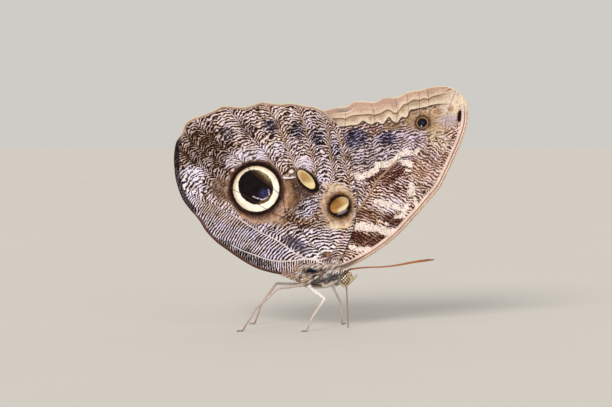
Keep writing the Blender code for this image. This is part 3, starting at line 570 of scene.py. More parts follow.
def ground_colours(points, base, patches):
    """Colours between and on the ripples, how wide the ripples are and how far they fade."""
    dark = np.tile(paint(base[0]), (len(points), 1))
    light = np.tile(paint(base[1]), (len(points), 1))
    share, calm = np.zeros(len(points)), np.zeros(len(points))
    for centre, halves, turn, between, ripple, widen, fade, strength in patches:
        weight = patch_weight(points, (centre, halves, turn), strength)
        dark += (paint(between) - dark) * weight[:, None]
        light += (paint(ripple) - light) * weight[:, None]
        share += (widen - share) * weight
        calm += (fade - calm) * weight
    return {"dark": dark, "light": light, "share": share, "calm": calm}


def forks(points, count, low, high, seed):
    """Adds whole turns to the ripples' phase round scattered points, where one ripple splits in two."""
    chance = np.random.default_rng(seed)
    phase = np.zeros(len(points))
    for place in chance.uniform(low, high, (count, 2)):
        across = points - place
        phase += chance.choice((-1, 1)) * np.arctan2(across[:, 1], across[:, 0]) / math.tau
    return phase


def in_lower_strip(points):
    """1 in the strip under the hindwing's lowest long vein, 0 above it."""
    return (above_line(points, HINDWING_VEINS["anal_2"][::-1]) < 0) * 1.0


def hindwing_ripples(points, cell):
    """Ripples in turns: arched between the veins, and straighter and closer in the lower strip."""
    reach = np.linalg.norm(points - np.array(RIPPLE_CENTRE), axis=1)
    arch = 1 - np.exp(-cell / 1.5)
    bow = 0.8 + 1.4 * ease((points[:, 1] - 44) / 12)
    strip = (reach - 0.3 * arch) / STRIP_PERIOD
    margin = np.linalg.norm(points - np.array(MARGIN_CENTRE), axis=1) / MARGIN_PERIOD
    turns = np.where(in_lower_strip(points) > 0, strip, (reach - bow * arch) / RIPPLE_PERIOD)
    lowest = above_line(points, HINDWING_VEINS["anal_3"][::-1]) < 0
    turns = np.where(lowest, margin, turns)
    zeros = np.zeros(len(points))
    return turns, zeros, zeros, forks(points, 190, (-50, 17), (12, 77), 11)


def forewing_ripples(points, cell):
    """Ripples rise towards the front in the outer half, and fall towards it elsewhere."""
    x, z = points.T
    arch = 0.7 * (1 - np.exp(-cell / 1.5))
    outer = z - 0.38 * x - arch
    inner = z + 0.5 * x - arch
    turned = np.maximum(ease((55 - z) / 6), ease((x - 28) / 5) * ease((67 - z) / 6))
    return outer / FORE_PERIOD, inner / FORE_PERIOD, turned, forks(points, 110, (-6, 20), (50, 80), 23)


def window(angle, low, high, soft=7.0):
    return ease((angle - low) / soft + 0.5) * ease((high - angle) / soft + 0.5)


def hindwing_border(points):
    """Colour and width of the band along the edge, and the colour and strength of the fringe."""
    angle = np.degrees(np.arctan2(points[:, 1] - 47, points[:, 0] + 20)) % 360
    band = np.tile(paint("rim"), (len(points), 1))
    fringe = np.tile(paint("shell"), (len(points), 1))
    width, strength = np.full(len(points), -1.0), np.full(len(points), 0.15)
    for low, high, band_name, fringe_name, wide in (
        (44, 147, "dust", "leaf", 0.9), (147, 200, "soot", "wine", 1.7), (200, 297, "brick", "wine", 0.95),
    ):
        weight = window(angle, low, high)
        band += (paint(band_name) - band) * weight[:, None]
        fringe += (paint(fringe_name) - fringe) * weight[:, None]
        width += (wide - width) * weight
        strength += (1 - strength) * weight
    return band, fringe, width, strength


def forewing_border(points):
    """Colour and width of the band along the edge, the fringe's colour, and 1 along the front edge."""
    front = ease((points[:, 0] - 3) / 4) * ease((76.5 - points[:, 1]) / 4)
    band = mix(np.tile(paint("shell"), (len(points), 1)), rgb("#74412f"), front)
    fringe = np.tile(paint("fringe"), (len(points), 1))
    return band, fringe, 0.35 + 0.15 * front, front


def hindwing_fill(points):
    """Colours inside the hindwing's pale ring and blobs."""
    across = points - np.array(RING[0])
    reach = np.linalg.norm(across, axis=1)
    angle = np.arctan2(across[:, 1], across[:, 0])
    turned = 0.5 + 0.5 * np.cos(angle - math.radians(140))
    gilt = (1 - ease((RING[1][0] - reach) / 1.5)) * (0.12 + 0.75 * turned)
    fill = mix(np.tile(rgb("#fffaec"), (len(points), 1)), rgb("#b4965c"), gilt)
    oval, _ = in_ellipse(points, OVAL)
    slope = (points - np.array(OVAL[0])) @ np.array([0.25, -0.97])
    oval_colour = mix(np.tile(rgb("#b08c5c"), (len(points), 1)), rgb("#ecd8a2"), ease((slope + 0.2) / 2.4))
    oval_colour = mix(oval_colour, rgb("#dfcc9c"), ease((oval - 0.5) / 0.4) * 0.6)
    fall = (points - np.array(BALL[0])) @ np.array([0.53, -0.85])
    along = (points - np.array(BALL[0])) @ np.array([0.85, 0.53])
    ball_colour = mix(rgb("#6a4a1e"), rgb("#9c7138"), ease((fall + 2.4) / 2.0))
    ball_colour = mix(ball_colour, rgb("#c4a26c"), ease((along + 0.4) / 3.0))
    lit = ease((fall - 0.4) / 1.2) * ease((along + 2.8) / 2.2)
    ball_colour = mix(ball_colour, rgb("#fbecc0"), lit * 0.8)
    orange = ease((-along - 1.2) / 1.6) * ease((fall + 0.4) / 1.2)
    ball_colour = mix(ball_colour, rgb("#d99a5c"), orange * 0.5)
    ball_colour = mix(ball_colour, rgb("#b5a593"), ease((along - 2.2) / 1.0) * 0.8)
    fill = np.where((points[:, 0] > -8.9)[:, None], oval_colour, fill)
    fill = np.where((points[:, 0] > 1.2)[:, None], ball_colour, fill)
    knob = outside_ellipse(points, KNOB) < 0.8
    return np.where(knob[:, None], rgb("#ead6cc"), fill)


def chord_side(points):
    """How far a point is above the chord across the pupil."""
    a, b = np.array(PUPIL_CHORD)
    along = (b - a) / np.linalg.norm(b - a)
    return (points - a) @ np.array([-along[1], along[0]])


def pupil_colours(points):
    """The pupil is black, paler and brown above its chord, with a blue sheen low on its front side."""
    chord = chord_side(points)
    sheen = ease((1.2 - in_ellipse(points, PUPIL_SHEEN)[0]) / 0.9)
    found = mix(np.tile(rgb("#150e10"), (len(points), 1)), rgb("#34335a"), sheen)
    low_front = ease(((points - np.array(PUPIL[0])) @ np.array([0.6, -0.8]) - 4.2) / 1.4)
    found = mix(found, rgb("#6b5236"), low_front * 0.8)
    above = mix(rgb("#2c2018"), rgb("#a68f66"), ease((chord - 0.3) / 3.0))
    return mix(found, above, ease((chord + 0.3) / 0.9))


def hindwing_spots(points):
    """Distances outside the dark borders, the pale fills and the pupil."""
    border = outside_all(points, (RING_BORDER, OVAL_BORDER, KNOB_BORDER, BALL_BORDER))
    fill = outside_all(points, (RING, OVAL, KNOB, BALL))
    return np.column_stack([border, fill, outside_ellipse(points, PUPIL)])


def forewing_spots(points):
    border = outside_all(points, (SMALL_BORDER, TIP_SPOT))
    pupil = outside_all(points, (SMALL_PUPIL, TIP_SPOT))
    return np.column_stack([border, outside_ellipse(points, SMALL_RING), pupil])


def mark_field(points, marks, stout=1.0):
    """How far a point is inside the nearest mark, as a share of its half width."""
    return np.max([1 - distance_to(points, run) / (half * stout) for run, half in marks], axis=0)


def above_line(points, line):
    """The distance from a line that runs from left to right, positive above it."""
    run = smooth_run(line, 0.5)
    side = np.sign(points[:, 1] - np.interp(points[:, 0], run[:, 0], run[:, 1]))
    return side * distance_to(points, run)


def vein_runs(veins):
    return {name: smooth_run(corners, FINE_STEP) for name, corners in veins.items()}


def ochre_along_veins(points, ground, runs):
    """Ochre bands follow the upper veins of the hindwing."""
    near = distance_to_all(points, [runs[name] for name in ("subcosta", "radial", "median_1", "median_2")])
    weight = 0.6 * np.exp(-((near / 0.8) ** 2)) * ease((points[:, 1] - 50) / 8)
    ground["dark"] += (paint("earth") - ground["dark"]) * weight[:, None]
    ground["light"] += (paint("ochre") - ground["light"]) * weight[:, None]


def lay_halo(points, ground, border, widths, inner, outer):
    """A smooth halo round a spot, brown inside and paler outside, as wide as given for each direction."""
    across = points - np.array(border[0])
    width = np.interp(np.degrees(np.arctan2(across[:, 1], across[:, 0])), *zip(*widths))
    gap = outside_ellipse(points, border) + 0.35 * np.sin(2.1 * points[:, 0] + 1.3 * points[:, 1])
    found = mix(rgb(inner), rgb(outer), ease((gap - 0.2) / width))
    weight = ease((width + 0.6 - gap) / 1.2) * 0.9
    for name in ("dark", "light"):
        ground[name] = mix(ground[name], found, weight)
    ground["calm"] += (1 - ground["calm"]) * weight * 0.8


def hindwing_paint(points):
    """All that the underside's finish reads, for each point of the hindwing."""
    runs = vein_runs(HINDWING_VEINS)
    folds = [smooth_run(fold, FINE_STEP) for fold in DARK_FOLDS]
    outline = smooth_run(HINDWING_EDGE, FINE_STEP, closed=True)
    edge_gap = distance_to(points, np.vstack([outline, outline[:1]]))
    cell = distance_to_all(points, [*runs.values(), *folds])
    ground = ground_colours(points, ("umber", "blush"), HINDWING_PATCHES)
    ochre_along_veins(points, ground, runs)
    lay_halo(points, ground, RING_BORDER, RING_HALO, "#6b4d35", "#cfae93")
    lay_halo(points, ground, BALL_BORDER, BALL_HALO, "#937448", "#ead8bd")
    band, fringe, width, fringe_share = hindwing_border(points)
    dark_names = ("median_3", "cubital_1", "cubital_2", "cubital")
    loops = distance_to_all(points, [smooth_run(loop, 0.3) for loop in STEM_LOOPS]) - 0.14
    pale = np.minimum(distance_to_all(points, [runs["anal_2"], runs["anal_3"]]), loops)
    pale = pale + 1.2 * ease((-29 - points[:, 0]) / 9)
    dark = distance_to_all(points, [*(runs[name] for name in dark_names), *folds])
    other = distance_to_all(points, [runs[name] for name in ("radial", "median_1", "median_2", "subcosta")])
    shade = outside_ellipse(points, BALL_SHADE)
    unrest = 1 - np.maximum(0.55 * in_lower_strip(points), 0.4 * ease((38 - points[:, 1]) / 6))
    wave, turns = ripple_columns(hindwing_ripples(points, cell), ground["share"])
    zeros = np.zeros(len(points))
    return {
        "vectors": {
            "wave": wave, "turns": turns, "field": np.column_stack([ground["calm"], edge_gap, width]),
            "lines": np.column_stack([pale, dark, other]), "spots": hindwing_spots(points),
            "glint": np.column_stack([distance_to(points, CRESCENT), zeros, shade]),
            "habit": np.column_stack([unrest, fringe_share, 0.4 + zeros]),
            "marks": np.column_stack([zeros - 1, zeros - 1, zeros]),
            "bands": np.column_stack([zeros - 9, zeros - 9, zeros]),
        },
        "colours": {"dark": ground["dark"], "light": ground["light"], "fill": hindwing_fill(points),
                    "band": band, "fringe": fringe, "pupil": pupil_colours(points)},
    }


def ripple_columns(ripples, share):
    """The ripples' forks as a point on a circle with the ripples' width, and their two fields of turns."""
    first, second, turned, split = ripples
    circle = np.column_stack([np.cos(math.tau * split), np.sin(math.tau * split), share])
    return circle, np.column_stack([first, second, turned])


def forewing_fill(points):
    return np.tile(rgb("#9a7c58"), (len(points), 1))


def forewing_paint(points):
    """All that the underside's finish reads, for each point of the forewing."""
    runs = vein_runs(FOREWING_VEINS)
    outline = smooth_run(FOREWING_EDGE, FINE_STEP, closed=True)
    edge_gap = distance_to(points, np.vstack([outline, outline[:1]]))
    cell = distance_to_all(points, list(runs.values()))
    ground = ground_colours(points, ("rust", "petal"), FOREWING_PATCHES)
    band, fringe, width, front = forewing_border(points)
    outer_names = ("radial_5", "median_1", "median_2", "median_3", "cubital_1", "cubital_2", "anal")
    dark = distance_to_all(points, [runs[name] for name in outer_names])
    dark = np.minimum(dark + 0.06, distance_to(points, runs["cubital"] + (0.38, -0.26)))
    pale = np.full(len(points), 9.0)
    tan = distance_to(points, runs["cubital"]) - 0.1 + 1.5 * ease((40 - points[:, 1]) / 3)
    other = np.minimum(distance_to(points, runs["radial"]) + 0.16, tan)
    dot = np.linalg.norm(points - np.array(SMALL_DOT), axis=1)
    tail = distance_to(points, TIP_TAIL)
    blue = ease((1.3 - in_ellipse(points, (SMALL_PUPIL[0], (0.6, 0.6), 0))[0]) / 0.9)
    pupil = mix(np.tile(rgb("#130d10"), (len(points), 1)), rgb("#2b2c54"), blue)
    outer, inner = above_line(points, OUTER_LINE), above_line(points, INNER_LINE)
    outer = outer + 0.35 - 0.7 * (1 - np.exp(-cell / 1.1))
    basal = 1 - ease((points[:, 0] - 8) / 9)
    fade = 1 - ease((points[:, 0] - 38.5) / 7.0)
    wave, turns = ripple_columns(forewing_ripples(points, cell), ground["share"])
    zeros = np.zeros(len(points))
    return {
        "vectors": {
            "wave": wave, "turns": turns, "field": np.column_stack([ground["calm"], edge_gap, width]),
            "lines": np.column_stack([pale, dark, other]), "spots": forewing_spots(points),
            "glint": np.column_stack([np.minimum(dot - 0.1, tail - 0.15), basal, np.full(len(points), 9.0)]),
            "habit": np.column_stack([0.95 + zeros, 1 + zeros, 0.85 + zeros]),
            "marks": np.column_stack([
                mark_field(points, CREAM_MARKS, 1.2), mark_field(points, MAROON_MARKS, 1.25), front,
            ]),
            "bands": np.column_stack([outer, inner, fade]),
        },
        "colours": {"dark": ground["dark"], "light": ground["light"], "fill": forewing_fill(points),
                    "band": band, "fringe": fringe, "pupil": pupil},
    }


def wing_relief(points, runs):
    """Rounded veins that thin out towards the edge, and a skin that dips between them."""
    near = distance_to_all(points, runs)
    reach = ease(from_root(points) / 66)
    half = VEIN_HALF_WIDTH * (1.15 - 0.45 * reach)
    rise = VEIN_RISE * (1.0 - 0.35 * reach) * np.clip(1 - (near / half) ** 2, 0, 1) ** 1.5
    return rise - CELL_DIP * (1 - np.exp(-((near / 2.2) ** 2)))


def make_wing(kind, edge, veins, folds, lie, painted):
    """Both sides' wings of one kind, with the underside's marks held in the mesh."""
    runs = list(vein_runs(veins).values())
    extra = [smooth_run(fold, FINE_STEP) for fold in folds]
    outer, outer_faces, outer_rim = wing_plan(edge, runs + extra, FINE_STEP)
    inner, inner_faces, inner_rim = wing_plan(edge, [], COARSE_STEP)
    fields = painted(outer)
    outline = np.vstack([outer[outer_rim], outer[outer_rim][:1]])

    def lift(points, half, relief):
        taper = THIN_EDGE + (1 - THIN_EDGE) * ease(distance_to(points, outline) / EDGE_TAPER)
        return lie(points) + flutter(points) + MEMBRANE / 2 + half * taper + relief * taper

    outer_lift = lift(outer, WING_THICKNESS / 2, wing_relief(outer, runs))
    inner_lift = lift(inner, -WING_THICKNESS / 2, wing_relief(inner, runs).clip(max=0))
    count = len(outer)
    rim_a, rim_b = outer_rim, np.roll(outer_rim, -1)
    low_a, low_b = inner_rim + count, np.roll(inner_rim, -1) + count
    faces = np.vstack([
        outer_faces, inner_faces[:, ::-1] + count,
        np.column_stack([rim_b, rim_a, low_a]), np.column_stack([rim_b, low_a, low_b]),
    ])
    upper_side = np.zeros(len(faces), np.int32)
    upper_side[len(outer_faces):len(outer_faces) + len(inner_faces)] = 1
    low, high = outer.min(axis=0), outer.max(axis=0)
    outer_places = (outer - low) / (high - low) * (0.98, 0.78) + (0.01, 0.01)
    inner_places = (inner - low) / (high - low) * (0.48, 0.17) + (0.01, 0.81)
    for side in (RIGHT, LEFT):
        points = np.vstack([
            np.column_stack([outer[:, 0], side * outer_lift, outer[:, 1]]),
            np.column_stack([inner[:, 0], side * inner_lift, inner[:, 1]]),
        ])
        turned = faces if side == RIGHT else faces[:, ::-1]
        obj = triangle_mesh(f"{kind}_scaled_{SIDE_NAMES[side]}", points, turned)
        mesh = obj.data
        for name, values in fields["vectors"].items():
            set_vectors(mesh, name, np.vstack([values, np.zeros((len(inner), 3))]))
        for name, values in fields["colours"].items():
            set_colours(mesh, name, np.vstack([values, np.zeros((len(inner), 3))]))
        set_uv(mesh, np.vstack([outer_places, inner_places]))
        mesh.materials.append(bpy.data.materials["rippled wing scales"])
        mesh.materials.append(bpy.data.materials["dusky wing scales"])
        mesh.polygons.foreach_set("material_index", upper_side)
        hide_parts(f"{kind}_{SIDE_NAMES[side]}")
        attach(obj, "root")


def add(tree, kind, *values, named=None, **settings):
    """Adds a node. Values go to its sockets in use, in order, and named ones by name."""
    made = tree.nodes.new("ShaderNode" + kind)
    for name, value in settings.items():
        setattr(made, name, value)
    sockets = [socket for socket in made.inputs if socket.enabled]
    pairs = [*zip(sockets, values), *((made.inputs[name], value) for name, value in (named or {}).items())]
    for socket, value in pairs:
        if isinstance(value, bpy.types.Node):  # it stands for its output
            value = next(output for output in value.outputs if output.enabled)
        if isinstance(value, bpy.types.NodeSocket):
            tree.links.new(value, socket)
        elif value is not None:
            socket.default_value = value
    return made


def new_material(name):
    """The empty node tree of a new material, and the place on the object that its nodes read."""
    material = bpy.data.materials.new(name)
    material.use_nodes = True
    tree = material.node_tree
    tree.nodes.clear()
    return tree, add(tree, "TexCoord").outputs["Object"]


def shade(tree, named):
    """Ends a material in a Principled shader with these values."""
    shader = add(tree, "BsdfPrincipled", named=named)
    add(tree, "OutputMaterial", shader)


def tone(code):
    return (*rgb(code), 1.0)


def read_colour(tree, name):
    return add(tree, "Attribute", attribute_name=name).outputs["Color"]


def read_vector(tree, name):
    source = add(tree, "Attribute", attribute_name=name)
    return add(tree, "SeparateXYZ", source.outputs["Vector"]).outputs


def blend(tree, share, below, above, kind="MIX"):
    return add(tree, "Mix", share, below, above, data_type="RGBA", blend_type=kind)


def soft_step(tree, value, low, high, top=1.0):
    return add(tree, "MapRange", value, low, high, 0.0, top, interpolation_type="SMOOTHSTEP")


def brighten(tree, value, ground, vivid=1.0):
    return add(tree, "HueSaturation", 0.5, vivid, value, 1.0, ground)


def scale_tiles(tree, place, low, high):
    """Single scales: their brightness from low to high, and the domes that they raise."""
    tiles = add(tree, "TexVoronoi", add(tree, "Mapping", place, None, None, (1.0, 1.0, 0.55)), 4600.0)
    tile_tone = add(tree, "MapRange", add(tree, "SeparateColor", tiles.outputs["Color"]), 0.0, 1.0, low, high)
    dome = add(tree, "MapRange", tiles, 0.0, 0.7, 1.0, 0.0)
    return tile_tone, add(tree, "Bump", 0.5, 0.00004, named={"Height": dome})


class WingNodes:
    """Short names for the nodes of the wing's finish, its noises and the values that its mesh holds."""

    def __init__(self, tree, place):
        self.tree = tree
        # Noise at sizes of about 1.7 mm, 0.9 mm, 0.35 mm, 5 mm and 3 mm.
        self.sway = add(tree, "TexNoise", place, 600.0, 1.5, 0.5)
        self.uneven = add(tree, "TexNoise", place, 1100.0, 2.0, 0.55)
        self.grain = add(tree, "TexNoise", place, 2900.0, 2.0, 0.6)
        self.cloud = add(tree, "TexNoise", place, 200.0, 2.0, 0.5)
        self.blotch = add(tree, "TexNoise", add(tree, "Mapping", place, (0.31, 0.17, 0.23)), 330.0, 2.0, 0.6)
        self.cosine, self.sine, self.share = read_vector(tree, "wave")
        self.first, self.second, self.turned = read_vector(tree, "turns")
        self.calm, self.edge_gap, self.band_width = read_vector(tree, "field")
        self.pale_gap, self.dark_gap, self.other_gap = read_vector(tree, "lines")
        self.border_gap, self.fill_gap, self.pupil_gap = read_vector(tree, "spots")
        self.crescent_gap, self.basal, self.shade_gap = read_vector(tree, "glint")
        self.cream_field, self.maroon_field, self.front = read_vector(tree, "marks")
        self.outer_gap, self.inner_gap, self.lined = read_vector(tree, "bands")
        self.unrest, self.fringed, self.tan_lines = read_vector(tree, "habit")

    def plus(self, a, b):
        return add(self.tree, "Math", a, b, operation="ADD")

    def minus(self, a, b):
        return add(self.tree, "Math", a, b, operation="SUBTRACT")

    def times(self, a, b):
        return add(self.tree, "Math", a, b, operation="MULTIPLY")

    def size_of(self, a):
        return add(self.tree, "Math", a, operation="ABSOLUTE")

    def swing(self, noise, reach):
        return self.times(self.minus(noise, 0.5), reach)

    def step(self, value, low, high):
        return soft_step(self.tree, value, low, high)

    def over(self, share, below, above, kind="MIX"):
        return blend(self.tree, share, below, above, kind)

    def colour(self, name):
        return read_colour(self.tree, name)

    def uneven_colour(self, name, low, high):
        value = add(self.tree, "MapRange", self.uneven, 0.3, 0.7, low, high)
        return brighten(self.tree, value, self.colour(name))


def ripple_height(n):
    """Waves that sway and break up, more so where the wing is unrestful."""
    drift = n.times(n.plus(n.swing(n.sway, 13.0), n.swing(n.uneven, 6.0)), n.unrest)
    shift = n.plus(add(n.tree, "Math", n.sine, n.cosine, operation="ARCTAN2"), drift)

    def wave(turns):
        return add(n.tree, "Math", n.plus(n.times(turns, math.tau), shift), operation="COSINE")

    height = n.plus(add(n.tree, "Mix", n.turned, wave(n.first), wave(n.second)), n.share)
    rough = n.plus(n.plus(n.swing(n.uneven, 2.8), n.swing(n.grain, 2.4)), n.swing(n.blotch, 2.6))
    return n.plus(height, n.times(rough, n.plus(n.times(n.unrest, 0.7), 0.3)))


def rippled_ground(n):
    """Pale crests and dark troughs on a middle tone, the crests alone, and the relief of both."""
    height = ripple_height(n)
    drawn = n.minus(1.0, n.times(n.calm, 0.92))
    crest = n.times(n.step(height, 0.32, 0.72), drawn)
    trough = n.times(n.step(height, -0.05, -0.5), drawn)
    mottle = n.times(n.plus(n.swing(n.uneven, 1.2), n.swing(n.grain, 0.8)), n.calm)
    middle = n.over(n.plus(n.times(n.calm, 0.4), 0.22), n.colour("dark"), n.colour("light"))
    vivid = n.minus(1.25, n.times(n.calm, 0.3))
    middle = brighten(n.tree, n.plus(mottle, 1.0), middle, vivid)
    dark = brighten(n.tree, 0.22, n.colour("dark"))
    light = n.over(0.3, n.colour("light"), tone("#fffbff"))
    ground = n.over(crest, n.over(trough, middle, dark), light)
    warmth = n.over(n.step(n.blotch, 0.35, 0.65), tone("#ffe4cf"), tone("#ede2ff"))
    return n.over(0.5, ground, warmth, "MULTIPLY"), crest, n.minus(crest, trough)


def draw_marks(n, ground, crest):
    """Bold cream and maroon marks of the forewing, with ragged edges."""
    ragged = n.swing(n.uneven, 1.7)
    cream_mask = n.step(n.plus(n.cream_field, ragged), 0.02, 0.3)
    maroon_mask = n.step(n.plus(n.maroon_field, ragged), 0.0, 0.4)
    maroon_tone = n.over(crest, tone("#3a1c18"), tone("#9a6c5c"))
    cream_tone = n.over(n.step(n.grain, 0.36, 0.5), tone("#b08c7c"), tone("#fdf3ec"))
    ground = n.over(n.times(maroon_mask, 0.92), ground, maroon_tone)
    return n.over(n.times(cream_mask, 0.88), ground, cream_tone)


def draw_bands(n, ground):
    """The pale and the tan band along the forewing's outer edge, and the dark scalloped lines inside them."""
    wavy, mottled = n.swing(n.uneven, 0.35), n.swing(n.uneven, 2.2)
    inner_side, outer_side = n.plus(n.inner_gap, wavy), n.plus(n.outer_gap, wavy)
    for side, near, far, start, end in (
        (inner_side, "#e2d2bd", "#ad937a", 0.3, 2.6),
        (outer_side, "#dcc7b0", "#bf9f8e", 0.2, 2.4),
    ):
        inside = n.times(n.step(side, -0.1, 0.1), n.lined)
        fall = n.step(n.plus(side, mottled), start, end)
        ground = n.over(inside, ground, n.over(fall, tone(near), tone(far)))
    for side, code, start, end, strength in (
        (inner_side, "#3f2c1e", 0.42, 0.16, 0.9),
        (outer_side, "#5a4330", 0.34, 0.1, 0.8),
    ):
        line = n.times(n.step(n.size_of(side), start, end), strength)
        ground = n.over(n.times(line, n.lined), ground, tone(code))
    return ground


def draw_veins(n, ground):
    """Thin lines on the veins."""
    ground = n.over(n.times(n.step(n.other_gap, 0.36, 0.12), n.tan_lines), ground, tone("#b48f74"))
    return n.over(n.times(n.step(n.pale_gap, 0.26, 0.06), 0.85), ground, tone("#eadfe0"))


def draw_spots(n, ground):
    """Spots: a dark border, a pale ring or blob, and a black pupil with a glint. The dark lines lie over them."""
    soft_gap = n.plus(n.border_gap, n.swing(n.uneven, 0.9))
    ground = n.over(n.times(n.step(soft_gap, 0.8, -0.3), 0.85), ground, tone("#3f2616"))
    ground = n.over(n.step(soft_gap, 0.0, -0.75), ground, tone("#1a0c09"))
    soft_fill = n.plus(n.fill_gap, n.swing(n.uneven, 0.4))
    ground = n.over(n.step(soft_fill, 0.14, -0.2), ground, n.uneven_colour("fill", 0.92, 1.1))
    ground = n.over(n.times(n.step(n.shade_gap, 0.5, -0.5), 0.75), ground, tone("#93858a"))
    pupil_mask = n.step(n.plus(n.pupil_gap, n.swing(n.uneven, 0.5)), 0.14, -0.16)
    ground = n.over(pupil_mask, ground, n.uneven_colour("pupil", 0.45, 1.5))
    glint_mask = n.times(n.step(n.crescent_gap, 0.32, 0.1), n.step(n.grain, 0.43, 0.55))
    ground = n.over(n.times(glint_mask, 0.9), ground, tone("#eadcf0"))
    return n.over(n.times(n.step(n.dark_gap, 0.22, 0.06), 0.75), ground, tone("#452c28"))


def draw_edge(n, ground):
    """A band along the edge, a pale band with a red line inside it along the forewing's front, and the fringe."""
    edge_wavy = n.plus(n.edge_gap, n.swing(n.uneven, 0.3))
    band_share = n.step(n.minus(edge_wavy, n.band_width), 0.18, -0.12)
    pale_in = n.times(n.step(n.size_of(n.minus(edge_wavy, 1.3)), 1.2, 0.8), n.front)
    red_gap = n.minus(n.size_of(n.minus(edge_wavy, 1.2)), n.times(n.basal, 0.45))
    red_line = n.times(n.step(red_gap, 0.34, 0.1), n.front)
    ground = n.over(n.times(pale_in, 0.85), ground, tone("#ecd8cb"))
    ground = n.over(n.times(red_line, 0.82), ground, n.over(n.basal, tone("#8a4a38"), tone("#3c211c")))
    ground = n.over(n.times(band_share, 0.88), ground, n.colour("band"))
    return n.over(n.times(n.step(n.edge_gap, 0.4, 0.24), n.fringed), ground, n.colour("fringe"))


def rippled_wing_scales():
    """Wing underside: overlapping dull scales, so matt, with a faint silky sheen and a fine tiled grain."""
    tree, place = new_material("rippled wing scales")
    nodes = WingNodes(tree, place)
    ground, crest, relief = rippled_ground(nodes)
    ground = draw_marks(nodes, ground, crest)
    for draw in (draw_bands, draw_veins, draw_spots, draw_edge):
        ground = draw(nodes, ground)
    tile_tone, raised = scale_tiles(tree, place, 0.9, 1.1)
    slow_tone = add(tree, "MapRange", nodes.cloud, 0.3, 0.7, 0.9, 1.08)
    finished = brighten(tree, nodes.times(tile_tone, slow_tone), ground)
    raised = add(tree, "Bump", 0.3, 0.00005, named={"Height": relief, "Normal": raised})
    shade(tree, {
        "Base Color": finished, "Normal": raised, "Roughness": 0.68, "Specular IOR Level": 0.07,
        "Sheen Weight": 0.02, "Sheen Roughness": 0.4,
    })


def dusky_wing_scales():
    """Butterfly wing upper side: dark brown scales with a blue cast near the root."""
    tree, place = new_material("dusky wing scales")
    cloud = add(tree, "TexNoise", place, 160.0, 3.0, 0.5)
    height = add(tree, "SeparateXYZ", place).outputs["Z"]
    brown = blend(tree, cloud, tone("#37271f"), tone("#5a4433"))
    ground = blend(tree, soft_step(tree, height, 0.055, 0.025, 0.75), brown, tone("#2c3352"))
    tile_tone, raised = scale_tiles(tree, place, 0.86, 1.12)
    finished = brighten(tree, tile_tone, ground)
    shade(tree, {
        "Base Color": finished, "Normal": raised, "Roughness": 0.55, "Specular IOR Level": 0.3,
        "Sheen Weight": 0.15, "Sheen Roughness": 0.4, "Sheen Tint": tone("#8fa3d8"),
    })


def insect_hair():
    """Chitin hair and hair-like scales: matt, soft at the edges, with the colour held in the mesh."""
    tree, place = new_material("insect hair")
    coat = read_colour(tree, "coat")
    fine = add(tree, "TexNoise", place, 3500.0, 2.0, 0.6)
    value = add(tree, "MapRange", fine, 0.3, 0.7, 0.82, 1.15)
    finished = brighten(tree, value, coat)
    shade(tree, {
        "Base Color": finished, "Roughness": 0.7, "Specular IOR Level": 0.12, "Sheen Weight": 0.04,
        "Sheen Roughness": 0.45,
    })


def insect_cuticle():
    """Bare chitin under the hair: dull brown shell with a slight gloss and fine pits. On the body the mesh gives
    it the coat's colours darkened as painted shade under the hair.
    """
    tree, place = new_material("insect cuticle")
    coat = read_colour(tree, "coat")
    fine = add(tree, "TexNoise", place, 2600.0, 3.0, 0.6)
    value = add(tree, "MapRange", fine, 0.3, 0.7, 0.75, 1.1)
    finished = add(tree, "HueSaturation", 0.5, 1.0, value, 0.9, coat)
    raised = add(tree, "Bump", 0.6, 0.00006, named={"Height": fine})
    shade(tree, {"Base Color": finished, "Normal": raised, "Roughness": 0.48, "Specular IOR Level": 0.45})


def compound_eye():
    """Eye: thousands of clear lenses over striped brown pigment, so glossy with a fine honeycomb."""
    tree, place = new_material("compound eye lenses")
    bend = add(tree, "TexNoise", place, 420.0, 2.0, 0.5)
    strayed = add(tree, "Math", bend, 0.0004, operation="MULTIPLY")
    bent = add(tree, "VectorMath", place, strayed, operation="ADD")

    def stripes(slope):
        along = add(tree, "VectorMath", bent, slope, operation="DOT_PRODUCT").outputs["Value"]
        return add(tree, "Math", along, operation="SINE")

    hatch = add(tree, "Math", stripes((6200.0, 0.0, 5200.0)), stripes((5600.0, 0.0, -4900.0)))
    ground = blend(tree, soft_step(tree, hatch, -0.3, 0.9), tone("#2c1b10"), tone("#f4e2bd"))
    # Painted shade: the eye's lower part is darkened towards a gold brown.
    height = add(tree, "SeparateXYZ", place).outputs["Z"]
    ground = blend(tree, soft_step(tree, height, 0.0164, 0.0152, 0.6), ground, tone("#76592c"))
    lenses = add(tree, "TexVoronoi", place, 9000.0, named={"Randomness": 0.25})
    dome = add(tree, "MapRange", lenses, 0.0, 0.6, 1.0, 0.0)
    raised = add(tree, "Bump", 0.35, 0.00002, named={"Height": dome})
    shade(tree, {
        "Base Color": ground, "Normal": raised, "Roughness": 0.34, "IOR": 1.45, "Coat Weight": 0.2,
        "Coat Roughness": 0.12,
    })


def ringed_feeler():
    """Feeler shell: orange-brown chitin in short rings, each with a darker joint, slightly glossy."""
    tree, place = new_material("ringed feeler chitin")
    run = read_vector(tree, "run")
    beat = add(tree, "Math", add(tree, "Math", run[0], 12.5, operation="MULTIPLY"), operation="SINE")
    joint = soft_step(tree, beat, 0.55, 0.95, 0.8)
    fine = add(tree, "TexNoise", place, 2200.0, 2.0, 0.6)
    shell = blend(tree, fine, tone("#a0562a"), tone("#c47a40"))
    club = soft_step(tree, run[1], 0.78, 0.98, 0.7)
    shell = blend(tree, club, shell, tone("#7a3416"))
    ground = blend(tree, joint, shell, tone("#4a2412"))
    raised = add(tree, "Bump", 0.5, 0.00006, named={"Height": beat})
    shade(tree, {"Base Color": ground, "Normal": raised, "Roughness": 0.42, "Specular IOR Level": 0.45})


